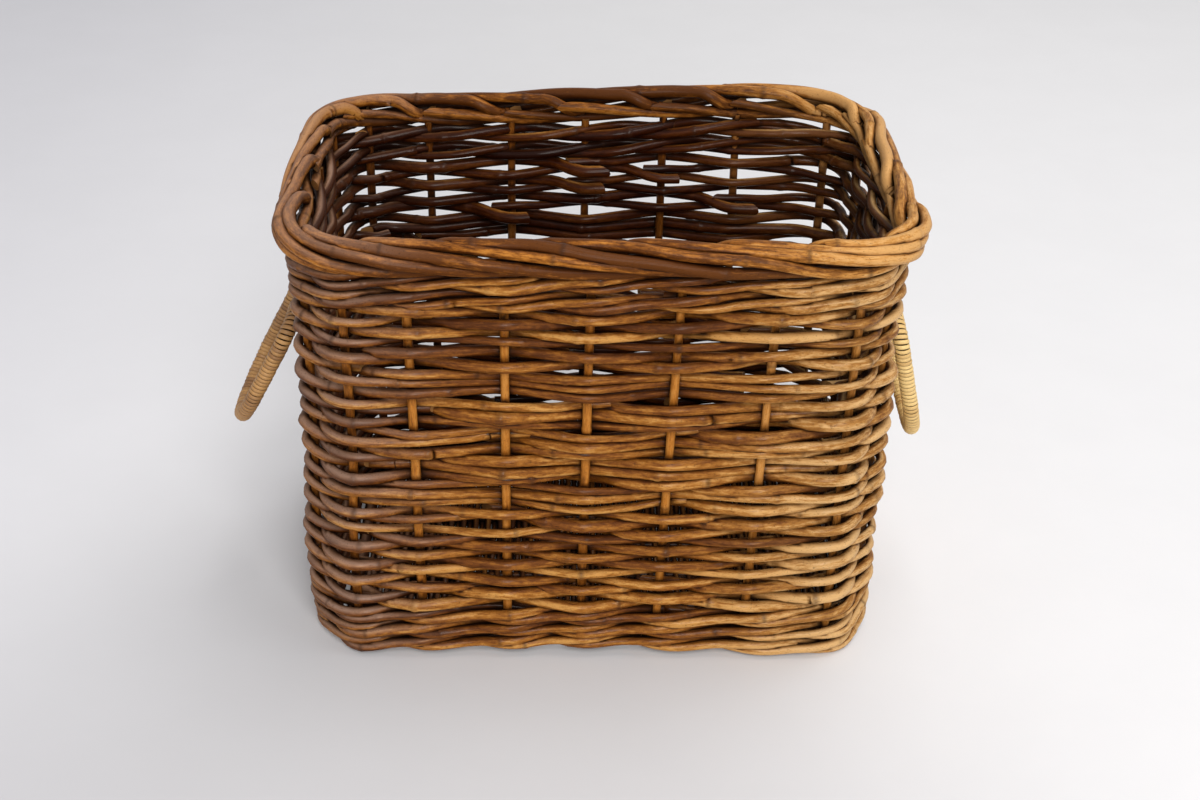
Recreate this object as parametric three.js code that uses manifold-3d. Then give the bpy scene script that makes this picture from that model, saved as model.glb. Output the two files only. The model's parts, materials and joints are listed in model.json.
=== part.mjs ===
// A rectangular wicker log basket with two drop handles, in millimetres, +Z up.
// The origin is on the floor, under the middle of the basket. The front looks along -Y.
// Upright stakes stand round the base, and horizontal courses of rods pass in turn outside and
// inside them. The stakes' thin upper ends are rolled into a rope of six strands round the rim.
import * as THREE from "three";
import { mergeVertices } from "three/addons/utils/BufferGeometryUtils.js";
import Module from "manifold-3d";

// Overall shape. The wall line runs through the middle of every stake.
const BASKET_HEIGHT = 357;
const WALL_HALF_WIDTH = 209;
const WALL_HALF_DEPTH = 128.5;
const CORNER_RADIUS = 50;

// Clearances between pieces that lie against each other.
const SEAT_GAP = 0.35;
const WEAVE_GAP = 0.7;
const RUNNING_GAP = 0.4;

// Stakes: round rods, six sided here.
const STAKE_RADIUS = 4.25;
const STAKE_SIDES = 6;
const STAKE_FOOT_HEIGHT = 2;
const FRONT_STAKES = 7;
const SIDE_STAKES = 4;
const FRONT_STAKES_CORNER_RUN = 26; // how far round the corner the outermost stakes stand
const SIDE_STAKES_CORNER_RUN = 13.5;

// Border: a rope of six strands, with one strand starting at each stake.
const ROPE_RADIUS = 11.2;
const ROPE_OFFSET = 7; // how far its middle lies outside the wall line
const ROPE_STRANDS = 6;
const ROPE_STEPS_PER_STAKE = 3;
const ROPE_VALLEY_SHARE = 0.86; // of the rope's radius, between two strands

// Courses: a middle band is three rods that pass the stakes together, and a woven course is two
// rods, one on each side of every stake. A round of waling is a plain strip here. Their heights
// are as they lie loose, and the whole stack is packed or eased to fill the wall.
const COURSE_THICKNESS = 6.2;
const WEAVE_LAP = 0.5; // how deep the two rods of a woven course press into each other
const COURSE_CORNER_STEPS = 3; // from one stake to the next, round a corner
const LOWER_WALE_ROWS = 3;
const LOWER_WALE_HEIGHT = 14.6;
const LOWER_WEAVE_ROWS = 6;
const LOWER_WEAVE_HEIGHT = 15;
const MIDDLE_BAND_ROWS = 5;
const MIDDLE_BAND_HEIGHT = 23;
const MIDDLE_BAND_RODS = 3;
const MIDDLE_BAND_GROOVE_SHARE = 0.5; // width beside a rod's crown, of the course thickness
const UPPER_WEAVE_ROWS = 3;
const UPPER_WEAVE_HEIGHT = 15.6;
const UPPER_WALE_ROWS = 2;
const UPPER_WALE_HEIGHT = 14.6;

// Base: a bent hoop, long sticks and the woven floor that holds them.
const BASE_HOOP_RADIUS = 6;
const BASE_HOOP_SIDES = 8;
const BASE_STICKS = 5;
const BASE_STICK_RADIUS = 4.2;
const BASE_STICK_SIDES = 12;
const BASE_STICK_EDGE_INSET = 24; // from the floor's long edge to the nearest stick's line
const BASE_STICK_SETBACK = 1.5; // from the floor's edge to the stick's cut end
const FLOOR_THICKNESS = 11;
const CORNER_STEPS = 5;

// Handles: a bent hoop whose top bar turns in two cane lashings, bound with cane below.
const HOOP_CORE_RADIUS = 4.2;
const HOOP_SIDES = 8;
const HOOP_DROP = 110;
const HOOP_HALF_WIDTH = 44;
const HOOP_BAR_HALF = 24;
const HOOP_CORNER_STEPS = 3;
const HOOP_BEND_STEPS = 14;
const BINDING_TURNS = 22;
const BINDING_STEPS_PER_TURN = 8;
const BINDING_THICKNESS = 1.2;
const BINDING_GROOVE = 1;
const BINDING_CLEARANCE = 0.6;
const LASHING_THICKNESS = 1.5;
const LASHING_WIDTH = 8;
const LASHING_SPREAD = 18; // from the handle's middle to each lashing's middle
const LASHING_BEND_STEPS = 3;
const LEFT_HANDLE_DEGREES = 28; // out from hanging straight down
const RIGHT_HANDLE_DEGREES = 13;

// Sizes that follow from the ones above.
const courseReach = STAKE_RADIUS + WEAVE_GAP + COURSE_THICKNESS / 2;
const wallFace = courseReach + COURSE_THICKNESS / 2;
const bindingFlat = Math.cos(Math.PI / BINDING_STEPS_PER_TURN);
const bindingInnerRadius = (HOOP_CORE_RADIUS + BINDING_CLEARANCE) / bindingFlat;
const bindingOuterRadius = bindingInnerRadius + BINDING_THICKNESS;
const handleStandOff = wallFace + SEAT_GAP + bindingOuterRadius + RUNNING_GAP;
const lashingSlot = LASHING_THICKNESS + 2 * RUNNING_GAP;
const ropeHeight = BASKET_HEIGHT - ROPE_RADIUS;
const wallTop = ropeHeight - ROPE_RADIUS - SEAT_GAP;

const PALETTE = {
  weaver: new THREE.MeshStandardMaterial({ color: "#8a5226", roughness: 0.62, metalness: 0 }),
  stake: new THREE.MeshStandardMaterial({ color: "#a8692c", roughness: 0.58, metalness: 0 }),
  base: new THREE.MeshStandardMaterial({ color: "#7b4a26", roughness: 0.68, metalness: 0 }),
  handleCore: new THREE.MeshStandardMaterial({ color: "#9a6430", roughness: 0.6, metalness: 0 }),
  cane: new THREE.MeshStandardMaterial({ color: "#d6a659", roughness: 0.5, metalness: 0 }),
};

// A rounded rectangle as a closed line, measured from the middle of the front, to the right.
class RoundedLine {
  constructor(halfWidth, halfDepth, radius) {
    this.radius = radius;
    this.straightX = halfWidth - radius;
    this.straightY = halfDepth - radius;
    this.quarterArc = (Math.PI / 2) * radius;
    this.quarter = this.straightX + this.quarterArc + this.straightY;
    this.length = 4 * this.quarter;
  }

  // The point and outward normal at a distance along the line.
  at(distance) {
    const wrapped = ((distance % this.length) + this.length) % this.length;
    const half = this.length / 2;
    const turned = wrapped >= half;
    const along = turned ? wrapped - half : wrapped;
    const mirrored = along > this.quarter;
    const run = mirrored ? half - along : along;
    const place = this.inFirstQuarter(run);
    if (mirrored) {
      place.point.y *= -1;
      place.normal.y *= -1;
    }
    if (turned) {
      place.point.negate();
      place.normal.negate();
    }
    return place;
  }

  inFirstQuarter(run) {
    const front = -(this.straightY + this.radius);
    if (run <= this.straightX) {
      return { point: new THREE.Vector2(run, front), normal: new THREE.Vector2(0, -1) };
    }
    if (run >= this.straightX + this.quarterArc) {
      const up = run - this.straightX - this.quarterArc - this.straightY;
      return { point: new THREE.Vector2(this.straightX + this.radius, up), normal: new THREE.Vector2(1, 0) };
    }
    const angle = (run - this.straightX) / this.radius;
    const normal = new THREE.Vector2(Math.sin(angle), -Math.cos(angle));
    const point = new THREE.Vector2(this.straightX, -this.straightY).addScaledVector(normal, this.radius);
    return { point, normal };
  }

  isCurved(distance) {
    const { normal } = this.at(distance);
    return Math.abs(normal.x * normal.y) > 1e-9;
  }

  // A point beside the line, moved outwards, at a height.
  beside(distance, outwards, height) {
    const { point, normal } = this.at(distance);
    point.addScaledVector(normal, outwards);
    return new THREE.Vector3(point.x, point.y, height);
  }
}

const wallLine = new RoundedLine(WALL_HALF_WIDTH, WALL_HALF_DEPTH, CORNER_RADIUS);

// Where the stakes stand, as distances along the wall line: front, right, back, left.
function placeStakes() {
  const places = [];
  const walls = [
    [FRONT_STAKES, wallLine.straightX + FRONT_STAKES_CORNER_RUN],
    [SIDE_STAKES, wallLine.straightY + SIDE_STAKES_CORNER_RUN],
  ];
  for (let wall = 0; wall < 4; wall++) {
    const [count, reach] = walls[wall % 2];
    for (let i = 0; i < count; i++) {
      places.push(wall * wallLine.quarter + THREE.MathUtils.lerp(-reach, reach, i / (count - 1)));
    }
  }
  return places;
}

const stakePlaces = placeStakes();

// The distance along the wall line at a stake number, which may be a fraction or run past the last.
function distanceAt(stakeNumber) {
  const count = stakePlaces.length;
  const lower = Math.floor(stakeNumber);
  const place = (n) => stakePlaces[n % count] + Math.floor(n / count) * wallLine.length;
  return THREE.MathUtils.lerp(place(lower), place(lower + 1), stakeNumber - lower);
}

// Skins rings of points, all with as many points, into one closed solid.
// A ring's points run anticlockwise as seen from the end that the rings run towards.
function skin(rings, joined) {
  const sides = rings[0].length;
  const positions = rings.flat().flatMap((p) => [p.x, p.y, p.z]);
  const index = [];
  const spans = joined ? rings.length : rings.length - 1;
  for (let ring = 0; ring < spans; ring++) {
    const here = ring * sides;
    const next = ((ring + 1) % rings.length) * sides;
    for (let i = 0; i < sides; i++) {
      const j = (i + 1) % sides;
      index.push(here + i, here + j, next + j, here + i, next + j, next + i);
    }
  }
  if (!joined) {
    const last = (rings.length - 1) * sides;
    for (let i = 1; i < sides - 1; i++) {
      index.push(0, i + 1, i, last, last + i, last + i + 1);
    }
  }
  const geometry = new THREE.BufferGeometry();
  geometry.setAttribute("position", new THREE.Float32BufferAttribute(positions, 3));
  geometry.setIndex(index);
  geometry.computeVertexNormals();
  return geometry;
}

// Rings of a round rod along a line of points. The first ring has a corner towards startNormal.
function rodRings(points, radius, sides, startNormal, joined) {
  const count = points.length;
  const direction = (i) => {
    const before = joined ? points[(i + count - 1) % count] : points[Math.max(i - 1, 0)];
    const after = joined ? points[(i + 1) % count] : points[Math.min(i + 1, count - 1)];
    const arrive = points[i].clone().sub(before);
    const leave = after.clone().sub(points[i]);
    return arrive.normalize().add(leave.normalize()).normalize();
  };
  const normal = startNormal.clone();
  let previous = direction(0);
  return points.map((point, i) => {
    const tangent = direction(i);
    normal.applyQuaternion(new THREE.Quaternion().setFromUnitVectors(previous, tangent));
    normal.addScaledVector(tangent, -normal.dot(tangent)).normalize();
    previous = tangent;
    const side = new THREE.Vector3().crossVectors(tangent, normal);
    return Array.from({ length: sides }, (_, k) => {
      const angle = (2 * Math.PI * k) / sides;
      return point
        .clone()
        .addScaledVector(normal, radius * Math.cos(angle))
        .addScaledVector(side, radius * Math.sin(angle));
    });
  });
}

function named(name, geometry, material) {
  const mesh = new THREE.Mesh(geometry, material);
  mesh.name = name;
  return mesh;
}

const numbered = (name, number) => `${name}_${String(number).padStart(2, "0")}`;

// Stakes stand upright in the wall, each with a corner towards the outside.
function makeStake(place) {
  const length = wallTop - STAKE_FOOT_HEIGHT;
  const rod = new THREE.CylinderGeometry(STAKE_RADIUS, STAKE_RADIUS, length, STAKE_SIDES);
  rod.rotateX(Math.PI / 2);
  const { normal } = wallLine.at(place);
  rod.rotateZ(normal.angle() - Math.PI / 2);
  const middle = wallLine.beside(place, 0, STAKE_FOOT_HEIGHT + length / 2);
  rod.translate(middle.x, middle.y, middle.z);
  return rod;
}

// Border. The rope turns by one strand from each stake to the next.
function makeBorder() {
  const rings = [];
  const corners = 2 * ROPE_STRANDS;
  for (let step = 0; step < stakePlaces.length * ROPE_STEPS_PER_STAKE; step++) {
    const stake = step / ROPE_STEPS_PER_STAKE;
    const twist = (stake * 2 * Math.PI) / ROPE_STRANDS;
    const ring = Array.from({ length: corners }, (_, k) => {
      const radius = k % 2 === 0 ? ROPE_RADIUS : ROPE_RADIUS * ROPE_VALLEY_SHARE;
      const angle = -Math.PI / 2 - (2 * Math.PI * k) / corners - twist;
      const outwards = ROPE_OFFSET + radius * Math.cos(angle);
      return wallLine.beside(distanceAt(stake), outwards, ropeHeight + radius * Math.sin(angle));
    });
    rings.push(ring);
  }
  return skin(rings, true);
}

// Courses. The line passes outside one stake and inside the next, and the next course the other way.
function courseLine(firstSide) {
  const line = [];
  stakePlaces.forEach((place, stake) => {
    const side = stake % 2 === 0 ? firstSide : -firstSide;
    line.push({ distance: place, outwards: side * courseReach });
    const nearCorner = [stake, stake + 1].some((n) => wallLine.isCurved(distanceAt(n)));
    for (let step = 1; nearCorner && step < COURSE_CORNER_STEPS; step++) {
      const share = step / COURSE_CORNER_STEPS;
      const outwards = side * courseReach * Math.cos(Math.PI * share);
      line.push({ distance: distanceAt(stake + share), outwards });
    }
  });
  return line;
}

// A closed strip on such a line, plain or with the crowns of several rods on each other.
function makeStrip(bottom, height, crowns, firstSide) {
  const half = COURSE_THICKNESS / 2;
  const levels = crowns > 0 ? 2 * crowns : 1;
  const inner = Array.from({ length: levels + 1 }, (_, level) => {
    const share = crowns > 0 && level % 2 === 0 ? MIDDLE_BAND_GROOVE_SHARE : 1;
    return [-half * share, bottom + (height * level) / levels];
  });
  const outer = inner.map(([across, z]) => [-across, z]).reverse();
  const section = [...inner, ...outer];
  const rings = courseLine(firstSide).map(({ distance, outwards }) =>
    section.map(([across, z]) => wallLine.beside(distance, outwards + across, z)),
  );
  return skin(rings, true);
}

// The two rods of a woven course pass each stake on its two sides and meet between the stakes.
function makeCourse({ bottom, height, crowns, woven }, firstSide) {
  if (!woven) {
    return makeStrip(bottom, height, crowns, firstSide);
  }
  const rodHeight = (height + WEAVE_LAP) / 2;
  const lower = makeStrip(bottom, rodHeight, crowns, firstSide);
  const upper = makeStrip(bottom + height - rodHeight, rodHeight, crowns, -firstSide);
  return toGeometry(toSolid(lower).add(toSolid(upper)));
}

// The courses from the floor up. The top middle band has a slot above and below it, for the lashings.
function stackCourses() {
  const kinds = [
    ["lower_wale", LOWER_WALE_ROWS, LOWER_WALE_HEIGHT, 0],
    ["lower_weave", LOWER_WEAVE_ROWS, LOWER_WEAVE_HEIGHT, 0],
    ["middle_band", MIDDLE_BAND_ROWS, MIDDLE_BAND_HEIGHT, MIDDLE_BAND_RODS],
    ["upper_weave", UPPER_WEAVE_ROWS, UPPER_WEAVE_HEIGHT, 0],
    ["upper_wale", UPPER_WALE_ROWS, UPPER_WALE_HEIGHT, 0],
  ];
  const rowCount = kinds.reduce((sum, [, rows]) => sum + rows, 0);
  const looseHeight = kinds.reduce((sum, [, rows, height]) => sum + rows * height, 0);
  const gaps = (rowCount - 1) * SEAT_GAP + 2 * (lashingSlot - SEAT_GAP);
  const packing = (wallTop - gaps) / looseHeight;
  const stack = [];
  let level = 0;
  for (const [kind, rows, looseRow, crowns] of kinds) {
    const height = looseRow * packing;
    for (let row = 1; row <= rows; row++) {
      const carriesHandles = kind === "middle_band" && row === rows;
      const woven = kind.endsWith("weave");
      level += carriesHandles ? lashingSlot - SEAT_GAP : 0;
      stack.push({ name: numbered(kind, row), bottom: level, height, crowns, woven, carriesHandles });
      level += height + (carriesHandles ? lashingSlot : SEAT_GAP);
    }
  }
  return stack;
}

const courses = stackCourses();
const handleCourse = courses.find((course) => course.carriesHandles);
const pivotHeight = handleCourse.bottom + handleCourse.height / 2;

// Distances along the wall line at steps round each of the four corners.
function cornerDistances() {
  const distances = [];
  for (let corner = 0; corner < 4; corner++) {
    const straight = corner % 2 === 0 ? wallLine.straightX : wallLine.straightY;
    for (let step = 0; step <= CORNER_STEPS; step++) {
      distances.push(corner * wallLine.quarter + straight + (wallLine.quarterArc * step) / CORNER_STEPS);
    }
  }
  return distances;
}

// Base hoop: lies inside the lowest course, flat side down.
const baseHoopHalfWidth = BASE_HOOP_RADIUS * Math.cos(Math.PI / BASE_HOOP_SIDES);
const baseHoopInset = wallFace + SEAT_GAP + baseHoopHalfWidth;

function makeBaseHoop() {
  const section = Array.from({ length: BASE_HOOP_SIDES }, (_, k) => {
    const angle = (2 * Math.PI * (k + 1 / 2)) / BASE_HOOP_SIDES;
    return [-BASE_HOOP_RADIUS * Math.cos(angle), baseHoopHalfWidth + BASE_HOOP_RADIUS * Math.sin(angle)];
  });
  const rings = cornerDistances().map((distance) =>
    section.map(([across, z]) => wallLine.beside(distance, across - baseHoopInset, z)),
  );
  return skin(rings, true);
}

// Woven floor with a channel for each stick.
const floorInset = baseHoopInset + baseHoopHalfWidth + SEAT_GAP;
const stickHeight = FLOOR_THICKNESS / 2;

function lyingRod(radius, length, y) {
  const rod = new THREE.CylinderGeometry(radius, radius, length, BASE_STICK_SIDES);
  rod.rotateZ(Math.PI / 2);
  rod.translate(0, y, stickHeight);
  return rod;
}

function stickLine(stick) {
  const reach = WALL_HALF_DEPTH - floorInset - BASE_STICK_EDGE_INSET;
  return THREE.MathUtils.lerp(-reach, reach, stick / (BASE_STICKS - 1));
}

const wasm = await Module();
wasm.setup();

function toSolid(geometry) {
  const bare = geometry.clone();
  bare.deleteAttribute("normal");
  bare.deleteAttribute("uv");
  const merged = mergeVertices(bare);
  return new wasm.Manifold(
    new wasm.Mesh({
      numProp: 3,
      vertProperties: merged.attributes.position.array,
      triVerts: new Uint32Array(merged.index.array),
    }),
  );
}

function toGeometry(solid) {
  const mesh = solid.getMesh();
  const geometry = new THREE.BufferGeometry();
  geometry.setAttribute("position", new THREE.BufferAttribute(mesh.vertProperties, 3));
  geometry.setIndex(new THREE.BufferAttribute(mesh.triVerts, 1));
  geometry.computeVertexNormals();
  return geometry;
}

function makeFloor() {
  const outline = new THREE.Shape(
    cornerDistances().map((distance) => {
      const { x, y } = wallLine.beside(distance, -floorInset, 0);
      return new THREE.Vector2(x, y);
    }),
  );
  const slab = new THREE.ExtrudeGeometry(outline, { depth: FLOOR_THICKNESS, bevelEnabled: false });
  let floor = toSolid(slab);
  for (let stick = 0; stick < BASE_STICKS; stick++) {
    const channel = lyingRod(BASE_STICK_RADIUS + SEAT_GAP, 2 * WALL_HALF_WIDTH, stickLine(stick));
    floor = floor.subtract(toSolid(channel));
  }
  return toGeometry(floor);
}

function makeStick(stick) {
  const y = stickLine(stick);
  const cornerRadius = CORNER_RADIUS - floorInset;
  const pastStraight = Math.abs(y) + BASE_STICK_RADIUS - wallLine.straightY;
  const intoCorner = THREE.MathUtils.clamp(pastStraight, 0, cornerRadius);
  const edge = wallLine.straightX + Math.sqrt(cornerRadius ** 2 - intoCorner ** 2);
  return lyingRod(BASE_STICK_RADIUS, 2 * (edge - BASE_STICK_SETBACK), y);
}

// Handles. In a handle's own frame the bar lies along Y at the origin and the hoop hangs down -Z.
const hoopCornerRadius = HOOP_HALF_WIDTH - HOOP_BAR_HALF;
const hoopSideEnd = HOOP_DROP - HOOP_HALF_WIDTH;

// The hoop's line as fixed points, from the left end of the bar round the bottom to the right end.
function hoopPoints() {
  const points = [];
  const arc = (y, z, radius, from, to, steps) => {
    for (let step = 0; step <= steps; step++) {
      const angle = THREE.MathUtils.lerp(from, to, step / steps);
      points.push(new THREE.Vector3(0, y + radius * Math.cos(angle), z + radius * Math.sin(angle)));
    }
  };
  arc(-HOOP_BAR_HALF, -hoopCornerRadius, hoopCornerRadius, Math.PI / 2, Math.PI, HOOP_CORNER_STEPS);
  arc(0, -hoopSideEnd, HOOP_HALF_WIDTH, Math.PI, 2 * Math.PI, HOOP_BEND_STEPS);
  arc(HOOP_BAR_HALF, -hoopCornerRadius, hoopCornerRadius, 0, Math.PI / 2, HOOP_CORNER_STEPS);
  return points;
}

function makeHoop() {
  return skin(rodRings(hoopPoints(), HOOP_CORE_RADIUS, HOOP_SIDES, new THREE.Vector3(1, 0, 0), true), true);
}

// The bound part of the hoop's line: point and in-plane normal at a distance from the left side's top.
const boundSide = hoopSideEnd - hoopCornerRadius;
const boundBend = Math.PI * HOOP_HALF_WIDTH;
const boundLength = 2 * boundSide + boundBend;

function boundPlace(distance) {
  if (distance < boundSide) {
    const point = new THREE.Vector3(0, -HOOP_HALF_WIDTH, -hoopCornerRadius - distance);
    return { point, normal: new THREE.Vector3(0, -1, 0) };
  }
  if (distance > boundSide + boundBend) {
    const rise = distance - boundSide - boundBend;
    const point = new THREE.Vector3(0, HOOP_HALF_WIDTH, -hoopSideEnd + rise);
    return { point, normal: new THREE.Vector3(0, 1, 0) };
  }
  const angle = Math.PI + (distance - boundSide) / HOOP_HALF_WIDTH;
  const normal = new THREE.Vector3(0, Math.cos(angle), Math.sin(angle));
  const point = new THREE.Vector3(0, 0, -hoopSideEnd).addScaledVector(normal, HOOP_HALF_WIDTH);
  return { point, normal };
}

// A flat cane strip wound round the hoop in one unbroken run.
function makeBinding() {
  const pitch = boundLength / (BINDING_TURNS + 1);
  const width = pitch - BINDING_GROOVE;
  const across = new THREE.Vector3(1, 0, 0);
  const corner = (distance, radius, angle) => {
    const { point, normal } = boundPlace(distance);
    return point
      .addScaledVector(normal, radius * Math.cos(angle))
      .addScaledVector(across, radius * Math.sin(angle));
  };
  const rings = [];
  for (let step = 0; step <= BINDING_TURNS * BINDING_STEPS_PER_TURN; step++) {
    const turn = step / BINDING_STEPS_PER_TURN;
    const angle = 2 * Math.PI * turn;
    const middle = pitch * (turn + 1 / 2);
    rings.push([
      corner(middle - width / 2, bindingInnerRadius, angle),
      corner(middle - width / 2, bindingOuterRadius, angle),
      corner(middle + width / 2, bindingOuterRadius, angle),
      corner(middle + width / 2, bindingInnerRadius, angle),
    ]);
  }
  reportLeastGap(rings);
  return skin(rings, false);
}

// Prints the least distance between the strip's facing edges on neighbouring turns.
function reportLeastGap(rings) {
  let least = Infinity;
  for (let i = 0; i + BINDING_STEPS_PER_TURN < rings.length; i++) {
    const next = rings[i + BINDING_STEPS_PER_TURN];
    least = Math.min(least, rings[i][2].distanceTo(next[1]), rings[i][3].distanceTo(next[0]));
  }
  console.log(`least gap between turns of the cane binding: ${least.toFixed(2)} mm`);
}

// A cane lashing: a closed strap round the handle's bar and through the wall, round one course.
function makeLashing(y) {
  const half = LASHING_THICKNESS / 2;
  const inner = -(wallFace + RUNNING_GAP + half);
  const top = handleCourse.height / 2 + RUNNING_GAP + half;
  const stepAngle = Math.PI / 2 / (LASHING_BEND_STEPS + 1 / 2);
  const eyeRadius = (HOOP_CORE_RADIUS + RUNNING_GAP + half) / Math.cos(stepAngle / 2);
  const line = [
    [inner, -top],
    [wallFace + half, -top],
  ];
  for (let step = 0; step <= LASHING_BEND_STEPS; step++) {
    const angle = (step - LASHING_BEND_STEPS / 2) * stepAngle;
    line.push([handleStandOff + eyeRadius * Math.cos(angle), eyeRadius * Math.sin(angle)]);
  }
  line.push([wallFace + half, top], [inner, top]);
  const rings = line.map(([x, z], i) => {
    const before = line[(i + line.length - 1) % line.length];
    const after = line[(i + 1) % line.length];
    const arrive = new THREE.Vector2(x - before[0], z - before[1]).normalize();
    const leave = new THREE.Vector2(after[0] - x, after[1] - z).normalize();
    const along = arrive.clone().add(leave).normalize();
    const reach = half / along.dot(arrive);
    const out = new THREE.Vector2(along.y, -along.x).multiplyScalar(reach);
    const low = y - LASHING_WIDTH / 2;
    const high = y + LASHING_WIDTH / 2;
    return [
      new THREE.Vector3(x + out.x, low, z + out.y),
      new THREE.Vector3(x + out.x, high, z + out.y),
      new THREE.Vector3(x - out.x, high, z - out.y),
      new THREE.Vector3(x - out.x, low, z - out.y),
    ];
  });
  return skin(rings, true);
}

// One end of the basket: the hanging handle and the two lashings that carry it.
function makeEnd(side, lean, turn) {
  const end = new THREE.Group();
  end.position.set(0, 0, pivotHeight);
  end.rotation.z = turn;
  const handle = new THREE.Group();
  handle.position.x = WALL_HALF_WIDTH + handleStandOff;
  handle.rotation.y = -THREE.MathUtils.degToRad(lean);
  handle.add(named(`${side}_handle_hoop`, makeHoop(), PALETTE.handleCore));
  handle.add(named(`${side}_handle_binding`, makeBinding(), PALETTE.cane));
  end.add(handle);
  const lashings = [
    ["front", -LASHING_SPREAD],
    ["back", LASHING_SPREAD],
  ];
  for (const [place, spread] of lashings) {
    const y = side === "left" ? -spread : spread;
    const lashing = named(`${side}_lashing_${place}`, makeLashing(y), PALETTE.cane);
    lashing.position.x = WALL_HALF_WIDTH;
    end.add(lashing);
  }
  return end;
}

const basket = new THREE.Group();
stakePlaces.forEach((place, stake) => {
  basket.add(named(numbered("stake", stake + 1), makeStake(place), PALETTE.stake));
});
let firstSide = 1;
for (const course of courses) {
  basket.add(named(course.name, makeCourse(course, firstSide), PALETTE.weaver));
  firstSide = course.woven ? firstSide : -firstSide;
}
basket.add(named("border", makeBorder(), PALETTE.stake));
basket.add(named("base_hoop", makeBaseHoop(), PALETTE.base));
basket.add(named("base_floor", makeFloor(), PALETTE.base));
for (let stick = 0; stick < BASE_STICKS; stick++) {
  basket.add(named(numbered("base_stick", stick + 1), makeStick(stick), PALETTE.base));
}
basket.add(makeEnd("right", RIGHT_HANDLE_DEGREES, 0));
basket.add(makeEnd("left", LEFT_HANDLE_DEGREES, Math.PI));

export default basket;
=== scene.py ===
"""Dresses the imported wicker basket: willow rods, rolled border, woven base and cane-bound handles.

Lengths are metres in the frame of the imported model: +X to the right, +Y to the back, +Z up.
"""

import json
import math

import bpy
import numpy as np
from mathutils import Matrix, Vector
from mathutils.bvhtree import BVHTree


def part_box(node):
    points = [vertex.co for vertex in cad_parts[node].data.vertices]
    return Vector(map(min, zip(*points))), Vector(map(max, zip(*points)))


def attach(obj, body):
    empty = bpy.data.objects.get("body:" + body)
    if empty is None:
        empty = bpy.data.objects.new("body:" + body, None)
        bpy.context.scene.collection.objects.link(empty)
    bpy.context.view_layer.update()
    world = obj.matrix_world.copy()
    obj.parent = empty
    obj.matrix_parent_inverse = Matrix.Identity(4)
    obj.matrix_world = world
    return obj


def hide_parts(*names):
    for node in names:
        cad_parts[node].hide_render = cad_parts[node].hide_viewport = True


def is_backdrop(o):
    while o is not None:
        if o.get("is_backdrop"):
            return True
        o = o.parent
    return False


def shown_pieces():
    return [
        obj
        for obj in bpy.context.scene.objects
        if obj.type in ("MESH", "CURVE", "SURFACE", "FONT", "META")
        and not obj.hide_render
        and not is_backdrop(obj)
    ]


bl_info = {
    "name": "Wicker basket looks",
    "version": (1, 0, 0),
    "blender": (4, 5, 0),
    "location": "3D View > Sidebar > Basket",
    "description": "Weaves the rods, border, base and bound handles of a log basket round its frame",
    "category": "Object",
}

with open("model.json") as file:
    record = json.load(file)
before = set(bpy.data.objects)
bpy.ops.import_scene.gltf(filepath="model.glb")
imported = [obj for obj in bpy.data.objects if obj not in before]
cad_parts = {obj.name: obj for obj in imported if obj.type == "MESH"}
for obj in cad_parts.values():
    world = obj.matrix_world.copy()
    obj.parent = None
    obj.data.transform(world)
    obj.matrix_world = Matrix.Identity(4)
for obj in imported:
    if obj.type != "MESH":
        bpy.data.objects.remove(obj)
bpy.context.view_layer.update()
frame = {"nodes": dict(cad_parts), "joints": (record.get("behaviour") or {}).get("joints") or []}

MM = 0.001
TAU = 2 * math.pi
SEED = 7

PIVOT = {joint["child"]: Vector(joint["pos_m"]) for joint in frame["joints"]}


def nodes_with(part):
    """The frame's nodes with this in their names, in order."""
    return sorted(name for name in frame["nodes"] if part in name)


def middle_of(node):
    low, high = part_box(node)
    return (low + high) / 2


def half_height(node):
    low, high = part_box(node)
    return (high.z - low.z) / 2


def rise(values, start, end):
    """0 below start, 1 above end, and a smooth step between."""
    share = np.clip((np.asarray(values, float) - start) / (end - start), 0, 1)
    return share * share * (3 - 2 * share)


def smooth_line(keys, values, places):
    """Values at places on a smooth curve through the values at the keys."""
    keys, values = np.asarray(keys, float), np.asarray(values, float)
    slopes = np.gradient(values, keys)
    index = np.clip(np.searchsorted(keys, places, side="right") - 1, 0, len(keys) - 2)
    span = keys[index + 1] - keys[index]
    t = np.clip((places - keys[index]) / span, 0, 1)
    start, end = values[index], values[index + 1]
    bend = slopes[index] * span * t * (1 - t) ** 2 - slopes[index + 1] * span * t * t * (1 - t)
    return start + (end - start) * t * t * (3 - 2 * t) + bend


class Waviness:
    """A smooth random curve that repeats once round the basket, mostly between -1 and 1."""

    def __init__(self, rng, slowest, fastest):
        self.rates = np.arange(slowest, fastest + 1)
        self.phases = rng.uniform(0, TAU, len(self.rates))
        self.sizes = rng.uniform(0.4, 1, len(self.rates)) / math.sqrt(len(self.rates))

    def __call__(self, turn):
        angles = TAU * np.multiply.outer(np.asarray(turn, float), self.rates) + self.phases
        return (np.sin(angles) * self.sizes).sum(-1) * 1.4


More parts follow.
